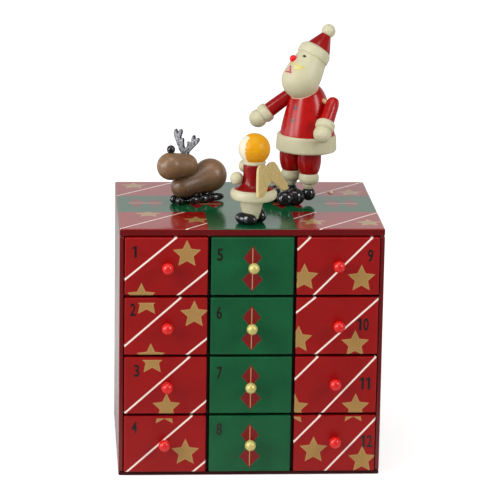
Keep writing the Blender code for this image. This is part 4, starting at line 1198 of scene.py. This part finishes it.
# Each lamp's place, width and height in metres, and watts; all look at the box
LAMPS = {"key": ((-1.2, -0.85, 0.95), (0.5, 1.2), 14.4),
         "fill": ((1.2, -0.86, 0.98), (0.45, 0.7), 9.6),
         "side": ((-1.45, -0.3, 0.42), (0.45, 0.55), 4.5),
         "above": ((0.0, -0.35, 1.55), (0.9, 0.6), 4.5)}
LAMP_TARGET = Vector((0, 0, 0.16))
CAMERA_PLACE = (-0.1496328, -2.16885496, 0.70422336)
CAMERA_AZIMUTH, CAMERA_ELEVATION, CAMERA_ROLL = map(math.radians, (-4.0443, 14.1144, 0.93535))
CAMERA_LENS = 206.7731


def build_studio():
    """A pale floor that the camera sees as white but for the object's shadow. Mirrored rays
    see a dim room with a lighter wall behind the object and a dark floor before it."""
    floor = bpy.data.meshes.new("floor")
    reach = 9.0
    floor.from_pydata([(-reach, -reach, 0), (reach, -reach, 0), (reach, reach, 0),
                       (-reach, reach, 0)], [], [(0, 1, 2, 3)])
    linked("floor", floor)
    paint = Paint("floor_white")
    camera_ray, glossy_ray = paint.outputs(paint.node("ShaderNodeLightPath"), "Is Camera Ray",
                                           "Is Glossy Ray")
    far = ((paint.distance((0, 0, 0)) - 0.25) / 1.5).clamped()
    diffuse = paint.node("ShaderNodeBsdfDiffuse", values={"Color": (0.8, 0.8, 0.8, 1.0)})
    glow = paint.node("ShaderNodeEmission", values={"Strength": camera_ray * (0.55 + far * 0.3)})
    pale = paint.node("ShaderNodeAddShader", values={0: diffuse, 1: glow})
    dark = paint.node("ShaderNodeBsdfDiffuse", values={"Color": (0.2, 0.2, 0.2, 1.0)})
    before = ((-0.12 - paint.along((0, 1, 0))) / 0.2).clamped()
    total = paint.node("ShaderNodeMixShader", values={0: glossy_ray * before, 1: pale, 2: dark})
    paint.node("ShaderNodeOutputMaterial", values={"Surface": total})
    floor.materials.append(paint.owner)

    world = bpy.data.worlds.new("studio")
    bpy.context.scene.world = world
    sky = Paint("studio", world, "Generated")
    camera_ray, glossy_ray = sky.outputs(sky.node("ShaderNodeLightPath"), "Is Camera Ray",
                                         "Is Glossy Ray")
    direction = sky.outputs(sky.node("ShaderNodeSeparateXYZ", values={0: sky.place}), "X", "Y", "Z")
    wall = ((direction[1] - 0.2) * 4.0).clamped() * ((0.5 - direction[2]) * 5.0).clamped()
    level = ((0.18 - direction[2]) * 8.0).clamped() * ((direction[2] + 0.5) * 4.0).clamped()
    left = ((0.0 - direction[0] - 0.6) * 5.0).clamped() * level
    right = ((direction[0] - 0.6) * 5.0).clamped() * level
    mirrored = 0.22 + wall * 0.52 + left * 2.2 + right * 0.8
    strength = camera_ray.most(glossy_ray * mirrored + (1.0 - glossy_ray) * 0.34)
    background = sky.node("ShaderNodeBackground",
                          values={"Color": (1, 1, 1, 1), "Strength": strength})
    sky.node("ShaderNodeOutputWorld", values={"Surface": background})

    for name, (place, size, power) in LAMPS.items():
        lamp = bpy.data.lights.new(name, "AREA")
        lamp.shape = "RECTANGLE"
        lamp.size, lamp.size_y = size
        lamp.energy = power
        light = linked(name, lamp)
        light.location = place
        light.rotation_euler = (LAMP_TARGET - Vector(place)).to_track_quat("-Z", "Y").to_euler()

    camera = bpy.data.cameras.new("camera")
    camera.lens = CAMERA_LENS
    camera.sensor_width = 36.0
    camera.clip_start, camera.clip_end = 0.1, 50.0
    shooter = linked("camera", camera)
    shooter.matrix_world = (
        Matrix.Translation(CAMERA_PLACE) @ Matrix.Rotation(CAMERA_AZIMUTH, 4, "Z")
        @ Matrix.Rotation(math.pi / 2 - CAMERA_ELEVATION, 4, "X")
        @ Matrix.Rotation(CAMERA_ROLL, 4, "Z"))
    bpy.context.scene.camera = shooter
    bpy.context.scene.view_settings.view_transform = "Standard"


for unused in [thing for thing in bpy.data.objects if thing.name in ("Cube", "Light", "Camera")]:
    bpy.data.objects.remove(unused, do_unlink=True)
build_case()
build_drawers()
cream_paint = plain_paint("cream", CREAM, CREAM_SHADE, 0.42, 0.0, specular=0.35, slot="cream_paint")
black_paint = plain_paint("boot_black", BLACK, (10, 9, 14), 0.16, 0.5, 0.04, slot="black_paint")
build_santa(cream_paint, black_paint)
build_angel(cream_paint, black_paint)
build_reindeer(black_paint)
build_studio()
